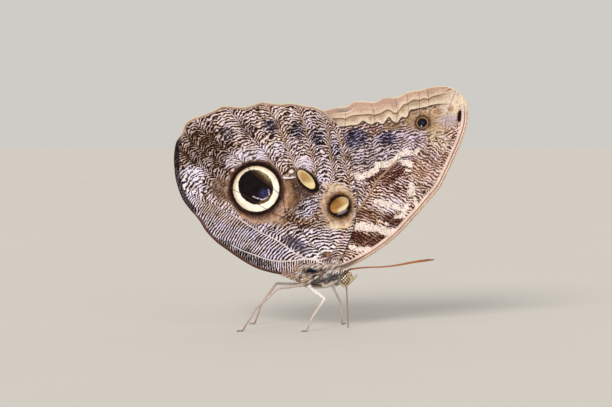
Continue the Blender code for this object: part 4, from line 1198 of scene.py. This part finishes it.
def tongue_chitin():
    """Coiling tongue: smooth tan chitin, finely ringed, glossy as if damp."""
    tree, _ = new_material("tongue chitin")
    run = read_vector(tree, "run")
    beat = add(tree, "Math", add(tree, "Math", run[0], 30.0, operation="MULTIPLY"), operation="SINE")
    band = add(tree, "MapRange", beat, -1.0, 1.0, 0.0, 1.0)
    ground = blend(tree, band, tone("#6f5c4a"), tone("#b5a089"))
    raised = add(tree, "Bump", 0.5, 0.00003, named={"Height": beat})
    shade(tree, {"Base Color": ground, "Normal": raised, "Roughness": 0.3, "Specular IOR Level": 0.5})


def pale_floor():
    """Matt painted studio floor: pale warm grey with a barely visible mottle."""
    tree, place = new_material("matt studio paint")
    cloud = add(tree, "TexNoise", place, 6.0, 3.0, 0.5)
    ground = blend(tree, cloud, tone("#d2d0cb"), tone("#d7d5d0"))
    shade(tree, {"Base Color": ground, "Roughness": 0.85, "Specular IOR Level": 0.2})


MATERIALS = (
    rippled_wing_scales, dusky_wing_scales, insect_hair, insect_cuticle, compound_eye, ringed_feeler,
    tongue_chitin, pale_floor,
)

# Body colours by place, seen from the side: middle, half sizes, turn in degrees, colour and strength.
BODY_PATCHES = [
    ((-17.0, 22.0), (10.0, 5.5), 26, "#8d7659", 1.0),
    ((-17.0, 20.0), (10.0, 2.6), 26, "#c5b08d", 0.8),
    ((-6.4, 19.0), (3.0, 3.5), 0, "#b39a88", 0.9),
    ((0.0, 22.6), (7.5, 1.9), 0, "#b9a096", 0.9),
    ((-11.0, 18.4), (4.0, 2.0), 0, "#c4a595", 0.9),
    ((-4.9, 16.9), (1.2, 1.2), 35, "#dcb481", 0.95),
    ((-6.8, 16.0), (1.8, 1.0), 0, "#dcab93", 0.9),
    ((2.4, 19.2), (2.2, 1.1), 15, "#d3c8c0", 0.9),
    ((0.4, 14.8), (4.6, 0.8), 10, "#d6c29a", 0.85),
    ((5.2, 17.6), (1.2, 1.8), 20, "#938c8b", 0.8),
    ((6.3, 16.9), (0.75, 2.0), 0, "#e4dccb", 0.95),
    ((8.0, 19.5), (2.2, 0.7), 0, "#83654b", 0.9),
    ((10.3, 17.8), (1.5, 1.7), 0, "#e8b992", 1.0),
    ((8.8, 15.2), (1.8, 0.8), 0, "#ddc79c", 0.9),
]
BODY_BASE = "#ab8b7b"
# Patches that cover the streaks: bluish and black flank, pale rim behind the eye, pale cheek and warm face.
COVER_PATCHES = [
    ((6.3, 17.2), (0.55, 1.4), -15, "#ece2d4", 0.75),
    ((5.9, 15.7), (1.0, 1.0), 0, "#cdcdb4", 0.75),
    ((7.6, 14.8), (1.4, 0.5), 0, "#d8c49c", 0.7),
    ((10.3, 17.7), (1.4, 1.6), 0, "#eec6a6", 0.5),
    ((-3.2, 19.9), (2.4, 1.1), -5, "#121a30", 1.0),
    ((0.6, 16.9), (3.6, 1.0), 10, "#343c50", 0.75),
    ((3.3, 18.1), (1.5, 0.9), 20, "#4b5358", 0.75),
    ((-1.8, 15.1), (2.6, 0.5), -6, "#160d08", 0.95),
]


def strands(points):
    """Streaks that run with the hair, from -1 to 1."""
    across = points[:, 2] - 0.5 * points[:, 0]
    bend = np.sin(0.9 * points[:, 0] + points[:, 1])
    broad = np.sin(3.7 * across - 1.1 * points[:, 0] + 2.0 * points[:, 1])
    return 0.65 * np.sin(6.4 * across + 1.7 * bend) + 0.45 * broad


def body_colours(points, seed, bold=0.0):
    """The coat's colour at points of the body, in light and dark strands, which differ more when bold."""
    flat = points[:, [0, 2]]
    found = np.tile(rgb(BODY_BASE), (len(points), 1))
    for centre, halves, turn, code, strength in BODY_PATCHES:
        weight = patch_weight(flat, (centre, halves, turn), strength)
        found += (rgb(code) - found) * weight[:, None]
    chance = np.random.default_rng(seed)
    streak = strands(points) + chance.normal(0, 0.16 + 0.5 * bold, len(points))
    found = mix(found, rgb("#fbeee6"), (0.75 + 0.2 * bold) * ease((streak - 0.15) / 0.5))
    found = mix(found, rgb("#321d17"), (0.8 + 0.15 * bold) * ease((-streak - 0.25) / 0.5))
    found *= chance.uniform(0.9, 1.45, (len(points), 1))
    for centre, halves, turn, code, strength in COVER_PATCHES:
        weight = patch_weight(flat, (centre, halves, turn), strength)
        found += (rgb(code) * chance.uniform(0.3, 2.2, (len(points), 1)) - found) * weight[:, None]
    return found


# Body forms: middle x and z, half length, half width, half height, and tilt in degrees.
BODY_FORMS = [
    (-0.4, 19.0, 6.0, 3.65, 4.4, 0), (-3.6, 19.0, 4.6, 3.45, 4.2, 0), (2.4, 18.6, 3.2, 2.8, 3.3, 8),
    (5.3, 17.7, 1.8, 1.4, 1.6, 0), (7.9, 17.75, 1.75, 1.5, 1.9, 0), (9.2, 17.9, 1.1, 1.3, 1.25, 0),
    (8.2, 16.5, 1.1, 1.2, 0.7, 0), (6.2, 15.9, 1.0, 1.3, 1.1, 0), (7.4, 15.5, 1.0, 1.2, 0.7, 5),
    (9.7, 17.2, 0.75, 1.0, 0.95, 30),
]
TEGULA = (2.4, 21.6, 1.9, 0.75, 1.25, -20)
ABDOMEN_FORMS = 8


def add_form(x, y, z, half_length, half_width, half_height, tilt):
    """A rounded form of the body, in millimetres as scene units."""
    bpy.ops.mesh.primitive_uv_sphere_add(
        segments=32, ring_count=20, location=(x, y, z), rotation=(0, -math.radians(tilt), 0),
        scale=(half_length, half_width, half_height),
    )
    return bpy.context.object


def body_skin():
    """One skin over thorax, neck, head and abdomen, fused from rounded forms."""
    forms = [add_form(x, 0, z, *sizes) for x, z, *sizes in BODY_FORMS]
    for side in (RIGHT, LEFT):
        x, z, *sizes = TEGULA
        forms.append(add_form(x, side * 3.1, z, *sizes))
    for k in range(ABDOMEN_FORMS):
        place = (len(ABDOMEN_MIDDLES) - 1) * (k + 0.3) / ABDOMEN_FORMS
        middle, radius = ABDOMEN_MIDDLES[int(place)], 0.9 * ABDOMEN_WIDTHS[int(place)]
        forms.append(add_form(middle[0], 0, middle[1], 2.1, radius, radius, 26))
    bpy.ops.object.select_all(action="DESELECT")
    for form in forms:
        form.select_set(True)
    bpy.context.view_layer.objects.active = forms[0]
    bpy.ops.object.join()
    skin = bpy.context.object
    skin.name = "body_skin"
    bpy.ops.object.transform_apply(location=True, rotation=True, scale=True)
    remesh = skin.modifiers.new("one surface", "REMESH")
    remesh.mode = "VOXEL"
    remesh.voxel_size = 0.24
    bpy.ops.object.modifier_apply(modifier=remesh.name)
    soften = skin.modifiers.new("soft creases", "SMOOTH")
    soften.factor, soften.iterations = 0.5, 6
    bpy.ops.object.modifier_apply(modifier=soften.name)
    work = bmesh.new()
    work.from_mesh(skin.data)
    bmesh.ops.triangulate(work, faces=work.faces)
    bmesh.ops.recalc_face_normals(work, faces=work.faces)
    work.to_mesh(skin.data)
    work.free()
    return skin


def mesh_arrays(mesh):
    """Points, triangles and the points' normals of a mesh of triangles."""
    points = np.empty(3 * len(mesh.vertices), np.float32)
    mesh.vertices.foreach_get("co", points)
    normals = np.empty(3 * len(mesh.vertices), np.float32)
    mesh.vertices.foreach_get("normal", normals)
    corners = np.empty(len(mesh.loops), np.int32)
    mesh.loops.foreach_get("vertex_index", corners)
    return points.reshape(-1, 3).astype(float), corners.reshape(-1, 3), normals.reshape(-1, 3).astype(float)


def scatter(points, triangles, normals, count, chance, rear, front):
    """Evenly spread places on a skin between two places along the body, with the normals there."""
    a, b, c = (points[triangles[:, k]] for k in range(3))
    middle = ((a + b + c) / 3)[:, 0]
    area = 0.5 * np.linalg.norm(np.cross(b - a, c - a), axis=1) * ((middle > rear) & (middle < front))
    picked = chance.choice(len(triangles), size=count, p=area / area.sum())
    u, v = chance.random((2, count))
    turned = u + v > 1
    u[turned], v[turned] = 1 - u[turned], 1 - v[turned]
    weights = np.column_stack([1 - u - v, u, v])
    corners = triangles[picked]
    places = np.einsum("ik,ikj->ij", weights, points[corners])
    facing = unit(np.einsum("ik,ikj->ij", weights, normals[corners]))
    return places, facing


TUFT_SHARES = ((0.0, 1.0), (0.38, 0.95), (0.74, 0.6))
TUFT_FACES = np.array([
    (0, 1, 4), (0, 4, 3), (1, 2, 5), (1, 5, 4), (2, 0, 3), (2, 3, 5),
    (3, 4, 7), (3, 7, 6), (4, 5, 8), (4, 8, 7), (5, 3, 6), (5, 6, 8),
    (6, 7, 9), (7, 8, 9), (8, 6, 9), (0, 2, 1),
])
TUFT_SPREAD = 0.003  # size of one tuft's patch on the map


def tuft_mesh(name, roots, normals, lies, lengths, widths, lifts, colours, places, chance, sink=0.12):
    """Closed tapering tufts that rise from their roots, lean over and bend a little."""
    flat = unit(lies - normals * np.sum(lies * normals, axis=1, keepdims=True))
    across = np.cross(normals, flat)
    swing = chance.normal(0, 0.16, (len(roots), 1))
    lengths, widths, lifts = lengths[:, None], widths[:, None], lifts[:, None]
    stations = []
    for share, wide in TUFT_SHARES:
        rise = -sink + lengths * lifts * share * (1.35 - 0.6 * share)
        middle = roots + flat * lengths * share + normals * rise + across * swing * lengths * share**2
        stations += [middle - across * widths * wide / 2, middle + across * widths * wide / 2,
                     middle + normals * widths * wide * 0.45]
    tip = roots + flat * lengths + normals * (-sink + lengths * lifts * 0.75) + across * swing * lengths
    stations.append(tip)
    count = len(roots)
    points = np.stack(stations, axis=1).reshape(-1, 3)
    points[:, 2] = points[:, 2].clip(min=0.01)
    faces = (TUFT_FACES[None] + 10 * np.arange(count)[:, None, None]).reshape(-1, 3)
    obj = triangle_mesh(name, points, faces)
    # Painted shade at each tuft's root and painted light towards its tip: the colour is scaled from 0.8 to 1.25
    # along the tuft.
    root_shade_tip_light = np.array([0.8] * 3 + [1.0] * 3 + [1.12] * 3 + [1.25])
    set_colours(obj.data, "coat", (colours[:, None, :] * root_shade_tip_light[None, :, None]).reshape(-1, 3).clip(0, 0.95))
    local = np.array([(x, y) for y in (0.0, 0.38, 0.74) for x in (0.0, 1.0, 0.5)] + [(0.5, 1.0)])
    set_uv(obj.data, (places[:, None, :] + (local[None] - 0.5) * TUFT_SPREAD).reshape(-1, 2))
    return obj


def body_places(points):
    """Where points of the body lie on its unwrapped skin: along it, and round it."""
    along = (points[:, 0] + 28) / 40
    middle = np.interp(points[:, 0], [-26.4, -18.5, -11.0, -6, 6, 11], [26.8, 22.8, 19.8, 19.0, 17.4, 17.2])
    turn = np.arctan2(points[:, 1], points[:, 2] - middle) / math.tau + 0.5
    return np.column_stack([0.01 + 0.98 * along.clip(0, 1), 0.01 + 0.98 * turn])


def body_lies(points):
    """Which way the hair lies: back along the thorax and abdomen, forward and down on the face."""
    x, z = points[:, 0], points[:, 2]
    zeros, ones = np.zeros(len(x)), np.ones(len(x))
    face = np.column_stack([0.8 * ones, zeros, np.where(z > 18.6, 0.5, -0.35)])
    front = np.column_stack([ones, -0.25 * points[:, 1], 0.45 * (18.0 - z)])
    lies = np.where((x < -8)[:, None], (-0.9, 0.0, 0.42), (-0.9, 0.0, -0.45))
    lies = np.where((x > 7.6)[:, None], face, lies)
    return np.where((x > 9.0)[:, None], front, lies)


# Coats: where each starts and ends along the body, how many tufts, their lengths, widths and lift, and
# how bold their locks are.
COATS = {
    "coat_thorax": (-8.6, 6.4, 11500, (1.0, 2.1), (0.08, 0.15), 0.32, 0.0),
    "coat_strands": (-8.0, 5.6, 2200, (1.8, 3.0), (0.2, 0.36), 0.36, 1.0),
    "coat_abdomen": (-30, -8.0, 7000, (0.7, 1.3), (0.1, 0.18), 0.16, 0.0),
    "coat_head": (6.2, 12, 7500, (0.3, 0.7), (0.05, 0.09), 0.5, 0.0),
    "coat_face": (9.0, 12, 2600, (0.4, 1.0), (0.06, 0.1), 0.4, 0.0),
}
# The lower edges that the hair over the wings' bases starts from.
HINDWING_BASE = [
    (-13.0, 18.3), (-10.2, 17.1), (-8.6, 17.0), (-7.4, 18.6), (-6.2, 20.7), (-3.8, 21.7), (4.4, 21.8),
    (5.8, 23.0),
]
FOREWING_BASE = [(2.6, 20.3), (5.4, 19.7), (8.4, 20.5)]


def wing_base_hair():
    """Hair on the outer faces of the wings at their bases, hanging over the edge to the body."""
    chance = np.random.default_rng(51)
    pieces = []
    bases = (HINDWING_BASE, hindwing_lie, 2800, 0.75), (FOREWING_BASE, body_room, 700, 0.45)
    for edge, lie, count, rise in bases:
        xs, zs = np.array(edge).T
        x = chance.uniform(xs[0], xs[-1], count)
        behind = 0.25 + 0.75 * ease((-4.5 - x) / 2) * ease((x + 14) / 6 + 0.3)
        above = chance.exponential(rise, count).clip(max=2.4) * behind
        flat = np.column_stack([x, np.interp(x, xs, zs) + 0.15 + above])
        out = lie(flat) + MEMBRANE / 2 + WING_THICKNESS / 2
        side = chance.choice((-1, 1), count)
        roots = np.column_stack([flat[:, 0], side * out, flat[:, 1]])
        facing = np.column_stack([np.zeros(count), side, np.zeros(count)])
        hang = np.exp(-above / 0.8)
        lies = np.column_stack([-0.9 + 0.35 * hang, np.zeros(count), 0.1 - 0.9 * hang])
        pieces.append((roots, facing, lies, hang))
    roots, facing, lies, hang = (np.concatenate(parts) for parts in zip(*pieces))
    lies = lies + chance.normal(0, 0.25, lies.shape)
    shorter = 0.3 + 0.7 * ease((roots[:, 0] + 11) / 5)
    lengths = chance.uniform(0.9, 1.7, len(roots)) * (1 + 0.3 * hang) * shorter
    widths = chance.uniform(0.1, 0.26, len(roots))
    tints = body_colours(roots + unit(lies) * lengths[:, None] * 0.6, 52, 0.8)
    tints = mix(tints, rgb("#b3917f"), 0.65 * ease((-6.5 - roots[:, 0]) / 2.5))
    lifts = chance.uniform(0.08, 0.28, len(roots))
    piece = tuft_mesh("coat_wing_bases", roots, facing, lies, lengths, widths, lifts, tints,
                      body_places(roots), chance, 0.05)
    finish_piece(piece, "insect hair")


def clear_of_eyes(places):
    """Keeps hair off the eyes."""
    x, z = EYE_CENTRE
    gap = np.hypot((places[:, 0] - x) / EYE_HALVES[0], (places[:, 2] - z) / EYE_HALVES[2])
    return (gap > 0.94) | (np.abs(places[:, 1]) < 0.9)


def dress_body():
    """The skin, with its coat in pieces."""
    skin = body_skin()
    points, triangles, normals = mesh_arrays(skin.data)
    for seed, (name, coat) in enumerate(COATS.items(), start=41):
        rear, front, count, length, width, lift, bold = coat
        chance = np.random.default_rng(seed)
        roots, facing = scatter(points, triangles, normals, count, chance, rear, front)
        keep = clear_of_eyes(roots)
        roots, facing = roots[keep], facing[keep]
        lies = body_lies(roots) + chance.normal(0, 0.22, roots.shape)
        lengths = chance.uniform(*length, len(roots))
        widths = chance.uniform(*width, len(roots))
        lifts = chance.uniform(0.5, 1.3, len(roots)) * lift
        tints = body_colours(roots + unit(lies) * lengths[:, None] * 0.6, seed, bold)
        piece = tuft_mesh(name, roots, facing, lies, lengths, widths, lifts, tints,
                          body_places(roots), chance)
        finish_piece(piece, "insect hair")
    wing_base_hair()
    # Painted shade: the skin between the tufts takes the coat's colours at 0.55 of their brightness.
    set_colours(skin.data, "coat", body_colours(points, 7) * 0.55)
    set_uv(skin.data, body_places(points))
    skin.data.transform(Matrix.Scale(MM, 4))
    skin.data.shade_smooth()
    finish_piece(skin, "insect cuticle")
    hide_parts("thorax", "head", "abdomen")


def finish_piece(obj, material):
    obj.data.materials.clear()
    obj.data.materials.append(bpy.data.materials[material])
    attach(obj, "root")


def add_eyes():
    """A bulging lens-covered dome on each cheek."""
    for side in (RIGHT, LEFT):
        x, z = EYE_CENTRE
        bpy.ops.object.select_all(action="DESELECT")
        place = (x, side * EYE_OUT, z)
        bpy.ops.mesh.primitive_uv_sphere_add(segments=48, ring_count=28, location=place, scale=EYE_HALVES)
        eye = bpy.context.object
        eye.name = f"eye_dome_{SIDE_NAMES[side]}"
        bpy.ops.object.transform_apply(location=True, rotation=True, scale=True)
        eye.data.transform(Matrix.Scale(MM, 4))
        eye.data.shade_smooth()
        finish_piece(eye, "compound eye lenses")
        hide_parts(f"eye_{SIDE_NAMES[side]}")


def tube(path, radii, sides=12):
    """Rings along a path, closed at both ends, with each point's run along the path and its share of it."""
    path, radii = np.array(path, float), np.array(radii, float)
    alongs = unit(np.gradient(path, axis=0))
    across = unit(np.cross(alongs[0], (0.3, 1.0, 0.2)))
    lengths = reach_along(path)
    angles = math.tau * np.arange(sides) / sides
    rings, runs = [], []
    for point, radius, along, length in zip(path, radii, alongs, lengths):
        across = unit(across - along * (across @ along))
        other = np.cross(along, across)
        rings.append(point + radius * (np.cos(angles)[:, None] * across + np.sin(angles)[:, None] * other))
        runs += [(length, length / lengths[-1], turn / math.tau) for turn in angles]
    points = np.vstack([*rings, path[:1], path[-1:]])
    faces = []
    for k in range(len(path) - 1):
        for i in range(sides):
            j = (i + 1) % sides
            a, b, c, d = k * sides + i, k * sides + j, (k + 1) * sides + j, (k + 1) * sides + i
            faces += [(a, b, c), (a, c, d)]
    first, last = len(points) - 2, len(points) - 1
    base = (len(path) - 1) * sides
    for i in range(sides):
        j = (i + 1) % sides
        faces += [(j, i, first), (base + i, base + j, last)]
    runs += [(0.0, 0.0, 0.0), (lengths[-1], 1.0, 0.0)]
    return points, np.array(faces), np.array(runs)


def add_limb(name, path, radii, material, colours=None):
    """A tube as a finished piece. Its map runs along it and round it."""
    points, faces, runs = tube(path, radii)
    obj = triangle_mesh(name, points, faces)
    work = bmesh.new()
    work.from_mesh(obj.data)
    bmesh.ops.recalc_face_normals(work, faces=work.faces)
    work.to_mesh(obj.data)
    work.free()
    set_vectors(obj.data, "run", runs)
    if colours is not None:
        set_colours(obj.data, "coat", colours(runs))
    set_uv(obj.data, np.column_stack([0.01 + 0.98 * runs[:, 1], 0.02 + 0.9 * runs[:, 2]]))
    finish_piece(obj, material)
    return obj


def spread(radii, count):
    return np.interp(np.linspace(0, len(radii) - 1, count), np.arange(len(radii)), radii)


def add_feelers():
    """Feelers of many short rings, and the tongue."""
    for side in (RIGHT, LEFT):
        corners = [(8.6, side * 0.6, 19.0)]
        corners += [(x, side * y, z - FEELER_DROOP[side] * (y - ANTENNA[0][1])) for x, y, z in ANTENNA]
        path = smooth_run(corners, 0.13)
        share = np.linspace(0, 1, len(path))
        radii = np.interp(share, np.linspace(0, 1, len(ANTENNA_RADII)), ANTENNA_RADII) * 0.92
        run = share * 0.13 * len(path)
        radii *= 1 - 0.09 * (np.sin(run * 12.5) > 0.6)
        radii[-4:] *= (0.85, 0.7, 0.5, 0.25)
        feeler = add_limb(f"feeler_{SIDE_NAMES[side]}", path, radii, "ringed feeler chitin")
        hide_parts(f"antenna_{SIDE_NAMES[side]}")
    path = smooth_run(TONGUE, 0.12)
    radii = spread(TONGUE_RADII, len(path)) * (0.95 + 0.05 * np.sin(np.arange(len(path)) * 1.9))
    tongue = add_limb("tongue", path, radii, "tongue chitin")
    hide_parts("proboscis")


def furred_limb(name, node, path, radii, colours, count, length, width, lift, seed):
    """A limb with scales and short hair that lie towards its tip."""
    chance = np.random.default_rng(seed)
    core = add_limb(name, path, radii, "insect cuticle", colours)
    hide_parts(node)
    points, faces, _ = tube(path, radii)
    corners = points[faces]
    crossed = np.cross(corners[:, 1] - corners[:, 0], corners[:, 2] - corners[:, 0])
    area = np.linalg.norm(crossed, axis=1)
    picked = chance.choice(len(faces), size=count, p=area / area.sum())
    roots = corners[picked].mean(axis=1) + chance.normal(0, 0.05, (count, 3))
    path = np.array(path)
    nearest = np.argmin(np.linalg.norm(roots[:, None] - path[None], axis=2), axis=1)
    facing = unit(roots - path[nearest])
    alongs = unit(np.gradient(path, axis=0))[nearest]
    share = nearest / (len(path) - 1)
    lengths = chance.uniform(0.6, 1.2, count) * length * (1 - 0.4 * share)
    widths = chance.uniform(0.7, 1.2, count) * width
    lifts = chance.uniform(0.4, 1.4, count) * lift
    rows = np.column_stack([share, share, share])
    tints = colours(rows) * chance.uniform(0.75, 1.25, (count, 1))
    # Painted shade: scales on the underside, facing down, are darkened towards a grey brown.
    tints = mix(tints, rgb("#6b584c"), 0.45 * ease((-facing[:, 2] - 0.1) / 0.7))
    places = np.column_stack([0.01 + 0.98 * share, 0.05 + 0.9 * chance.random(count)])
    coat = tuft_mesh(f"{name}_scales", roots, facing, alongs, lengths, widths, lifts, tints, places,
                     chance, 0.04)
    finish_piece(coat, "insect hair")


def leg_colours(runs):
    """Pinkish-white thigh, pink-brown shin and a darker tip."""
    share = runs[:, 1]
    thigh, shin, toe = rgb("#fcf6f2"), rgb("#e6d2ca"), rgb("#a3857a")
    found = mix(np.tile(thigh, (len(share), 1)), shin, ease((share - 0.4) / 0.2))
    return mix(found, toe, ease((share - 0.75) / 0.2) * 0.85)


def hind_leg_colours(runs):
    return mix(leg_colours(runs), rgb("#9c7865"), 0.45)


def palp_colours(runs):
    """Orange-tan hair that pales to straw at the tip."""
    share = runs[:, 1]
    return mix(np.tile(rgb("#f4dcbc"), (len(share), 1)), rgb("#ebe0bd"), ease((share - 0.6) / 0.4))


def foreleg_colours(runs):
    return np.tile(rgb("#f8eadb"), (len(runs), 1))


def under_thorax(x, y):
    """The height of the thorax's underside."""
    xs, bottoms, tops, halves = (np.array(column) for column in zip(*THORAX))
    bottom, top, half = (np.interp(x, xs, column) for column in (bottoms, tops, halves))
    return (bottom + top) / 2 - (top - bottom) / 2 * math.sqrt(1 - (y / half) ** 2)


def leg_run(corners, stout):
    """Points and radii of a leg: hip, coxa, swollen thigh, slender shin and a foot of five short pieces."""
    (hip_x, hip_y), knee, ankle, foot = corners
    hip = np.array([hip_x, hip_y, under_thorax(hip_x, hip_y)])
    knee, ankle, foot = np.array(knee), np.array(ankle), np.array(foot, float)
    coxa = hip + COXA_LENGTH * unit(np.array([0.0, 0.2 * hip_y, -1.0]) + unit(knee - hip))
    level = unit((foot - ankle) * (1, 1, 0))
    heel = foot - level * FOOT_LENGTH + UP * 0.27
    toe = foot + UP * 0.2
    inside_point = hip - 1.6 * unit(coxa - hip)
    swell = [(at, wide * stout) for at, wide in ((0.12, 0.5), (0.35, 0.6), (0.7, 0.52))]
    upper_foot = ((0.03, 0.22), (0.27, 0.29), (0.31, 0.2))
    lower_foot = ((0.06, 0.21), (0.4, 0.26), (0.47, 0.18))
    spans = [
        (inside_point, hip, [(0.0, 0.6), (1.0, 0.66)]),
        (hip, coxa, [(0.4, 0.72), (0.95, 0.55)]),
        (coxa, knee, [(0.05, 0.42), *swell, (0.93, 0.4), (0.98, 0.34)]),
        (knee, ankle, [(0.03, 0.38), (0.1, 0.43), (0.3, 0.38), (0.75, 0.34), (0.93, 0.37), (0.98, 0.26)]),
        (ankle, heel, [(at + k * 0.33, wide) for k in range(3) for at, wide in upper_foot]),
        (heel, toe, [(at + k * 0.5, wide) for k in range(2) for at, wide in lower_foot]),
    ]
    stations = [(start + (end - start) * at, wide) for start, end, rows in spans for at, wide in rows]
    return np.array([p for p, _ in stations]), np.array([r for _, r in stations])


def refine(path, radii, step):
    """More stations on the same straight lengths."""
    lengths = reach_along(path)
    even = np.arange(0, lengths[-1], step)
    places = np.unique(np.concatenate([lengths, even]))
    finer = np.column_stack([np.interp(places, lengths, axis) for axis in path.T])
    return finer, np.interp(places, lengths, radii)


def add_spines(name, path, seed):
    """Dark spines down the shin and foot, two long spurs at the ankle, and two claws at the tip."""
    chance = np.random.default_rng(seed + 100)
    alongs = unit(np.gradient(path, axis=0))
    places = np.arange(int(0.52 * len(path)), len(path) - 2)
    picked = np.repeat(places, 2)
    turns = chance.normal(0, 1, (len(picked), 3))
    along = alongs[picked]
    facing = unit(turns - along * np.sum(turns * along, axis=1, keepdims=True))
    ankle = int(0.78 * len(path))
    spurs = np.array([[0.2, 0.9, -0.3], [0.2, -0.9, -0.3]])
    claws = np.array([[0.0, 0.9, 0.25], [0.0, -0.9, 0.25]])
    roots = np.vstack([path[picked] + 0.12 * facing, path[[ankle, ankle]], path[[-1, -1]]])
    normals = np.vstack([facing, unit(spurs), unit(claws)])
    lies = np.vstack([along, alongs[[ankle, ankle]], alongs[[-1, -1]] - UP * 0.4])
    count = len(picked)
    lengths = np.concatenate([chance.uniform(0.25, 0.4, count), [0.7, 0.7, 0.45, 0.45]])
    widths = np.concatenate([np.full(count, 0.05), [0.08] * 4])
    lifts = np.concatenate([chance.uniform(0.5, 0.9, count), [0.5, 0.5, 0.3, 0.3]])
    tints = np.tile(rgb("#4a3328"), (len(roots), 1))
    shares = np.concatenate([picked, [ankle, ankle, len(path) - 1, len(path) - 1]]) / len(path)
    map_places = np.column_stack([0.01 + 0.98 * shares, chance.uniform(0.05, 0.95, len(shares))])
    piece = tuft_mesh(f"{name}_spines", roots, normals, lies, lengths, widths, lifts, tints, map_places,
                      chance, 0.02)
    finish_piece(piece, "insect hair")


def add_legs():
    for seed, (name, corners) in enumerate(LEGS.items(), start=61):
        stout, colours = (1.18, leg_colours) if "mid" in name else (0.78, hind_leg_colours)
        path, radii = refine(*leg_run(corners, stout), 0.45)
        path[:, 2] = np.maximum(path[:, 2], radii * 0.92)
        furred_limb(f"{name}_shell", name, path, radii, colours, 2600, 0.42, 0.07, 0.3, seed)
        add_spines(name, path, seed)


def add_palps_and_forelegs():
    for side in (RIGHT, LEFT):
        where = SIDE_NAMES[side]
        path = smooth_run([(x, side * y, z) for x, y, z in PALP], 0.2)
        radii = spread(PALP_RADII, len(path)) * CORE_SHARE
        furred_limb(f"palp_shell_{where}", f"palp_{where}", path, radii, palp_colours, 2400, 0.7, 0.08,
                    0.28, 71 + side)
        root = (FORELEG_ROOT[0], side * FORELEG_ROOT[1], under_thorax(*FORELEG_ROOT) + 0.8)
        path = smooth_run([root, *((x, side * y, z) for x, y, z in FORELEG)], 0.25)
        radii = spread([0.44, *FORELEG_RADII], len(path)) * CORE_SHARE
        furred_limb(f"foreleg_shell_{where}", f"foreleg_{where}", path, radii, foreleg_colours, 1500, 0.8,
                    0.08, 0.3, 81 + side)


FLOOR_RADIUS = 3.0
CAMERA_AIM = (-5.13, 0.0, 42.5)
CAMERA_DISTANCE = 601.0
CAMERA_HEIGHT_ANGLE = 3.0


def add_floor():
    bpy.ops.object.select_all(action="DESELECT")
    bpy.ops.mesh.primitive_circle_add(vertices=128, radius=FLOOR_RADIUS, fill_type="NGON")
    floor = bpy.context.object
    floor.name = "studio_floor"
    floor.data.materials.append(bpy.data.materials["matt studio paint"])


def add_camera():
    turn = math.radians(CAMERA_HEIGHT_ANGLE)
    look = Vector((0.0, math.cos(turn), -math.sin(turn)))
    camera = bpy.data.objects.new("camera", bpy.data.cameras.new("camera"))
    camera.data.lens, camera.data.sensor_width = 104.0, 36.0
    camera.data.clip_start = 0.01
    camera.location = (Vector(CAMERA_AIM) - look * CAMERA_DISTANCE) * MM
    camera.rotation_euler = look.to_track_quat("-Z", "Y").to_euler()
    bpy.context.collection.objects.link(camera)
    bpy.context.scene.camera = camera


def add_light(name, kind, place, aim, power, code):
    """A light that faces its aim."""
    light = bpy.data.lights.new(name, kind)
    light.energy, light.color = power, rgb(code)
    obj = bpy.data.objects.new(name, light)
    obj.location = place
    obj.rotation_euler = (Vector(aim) - Vector(place)).to_track_quat("-Z", "Y").to_euler()
    bpy.context.collection.objects.link(obj)
    return light


def add_lights():
    """An even light as through a large window, a weak softbox on the other side, and a pale room."""
    window = add_light("window light", "SUN", (-0.45, -0.95, 0.7), (0.0, 0.0, 0.0), 2.0, "#fff5ec")
    window.angle = math.radians(25)
    fill = add_light("fill softbox", "AREA", (0.8, -0.8, 0.3), (0.0, 0.0, 0.045), 1.0, "#f0f4ff")
    fill.size = 0.7
    world = bpy.data.worlds.new("studio")
    world.use_nodes = True
    world.node_tree.nodes["Background"].inputs["Color"].default_value = tone("#f2efea")
    world.node_tree.nodes["Background"].inputs["Strength"].default_value = 0.7
    bpy.context.scene.world = world


def clear_start():
    for obj in list(bpy.data.objects):
        bpy.data.objects.remove(obj, do_unlink=True)


def main():
    clear_start()
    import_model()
    bpy.ops.object.select_all(action="DESELECT")
    bpy.context.scene.view_settings.view_transform = "Standard"
    for make in MATERIALS:
        make()
    add_camera()
    add_lights()
    add_floor()
    make_wing("forewing", FOREWING_EDGE, FOREWING_VEINS, [OUTER_LINE, INNER_LINE], body_room, forewing_paint)
    make_wing("hindwing", HINDWING_EDGE, HINDWING_VEINS, DARK_FOLDS, hindwing_lie, hindwing_paint)
    dress_body()
    add_eyes()
    add_feelers()
    add_palps_and_forelegs()
    add_legs()


main()
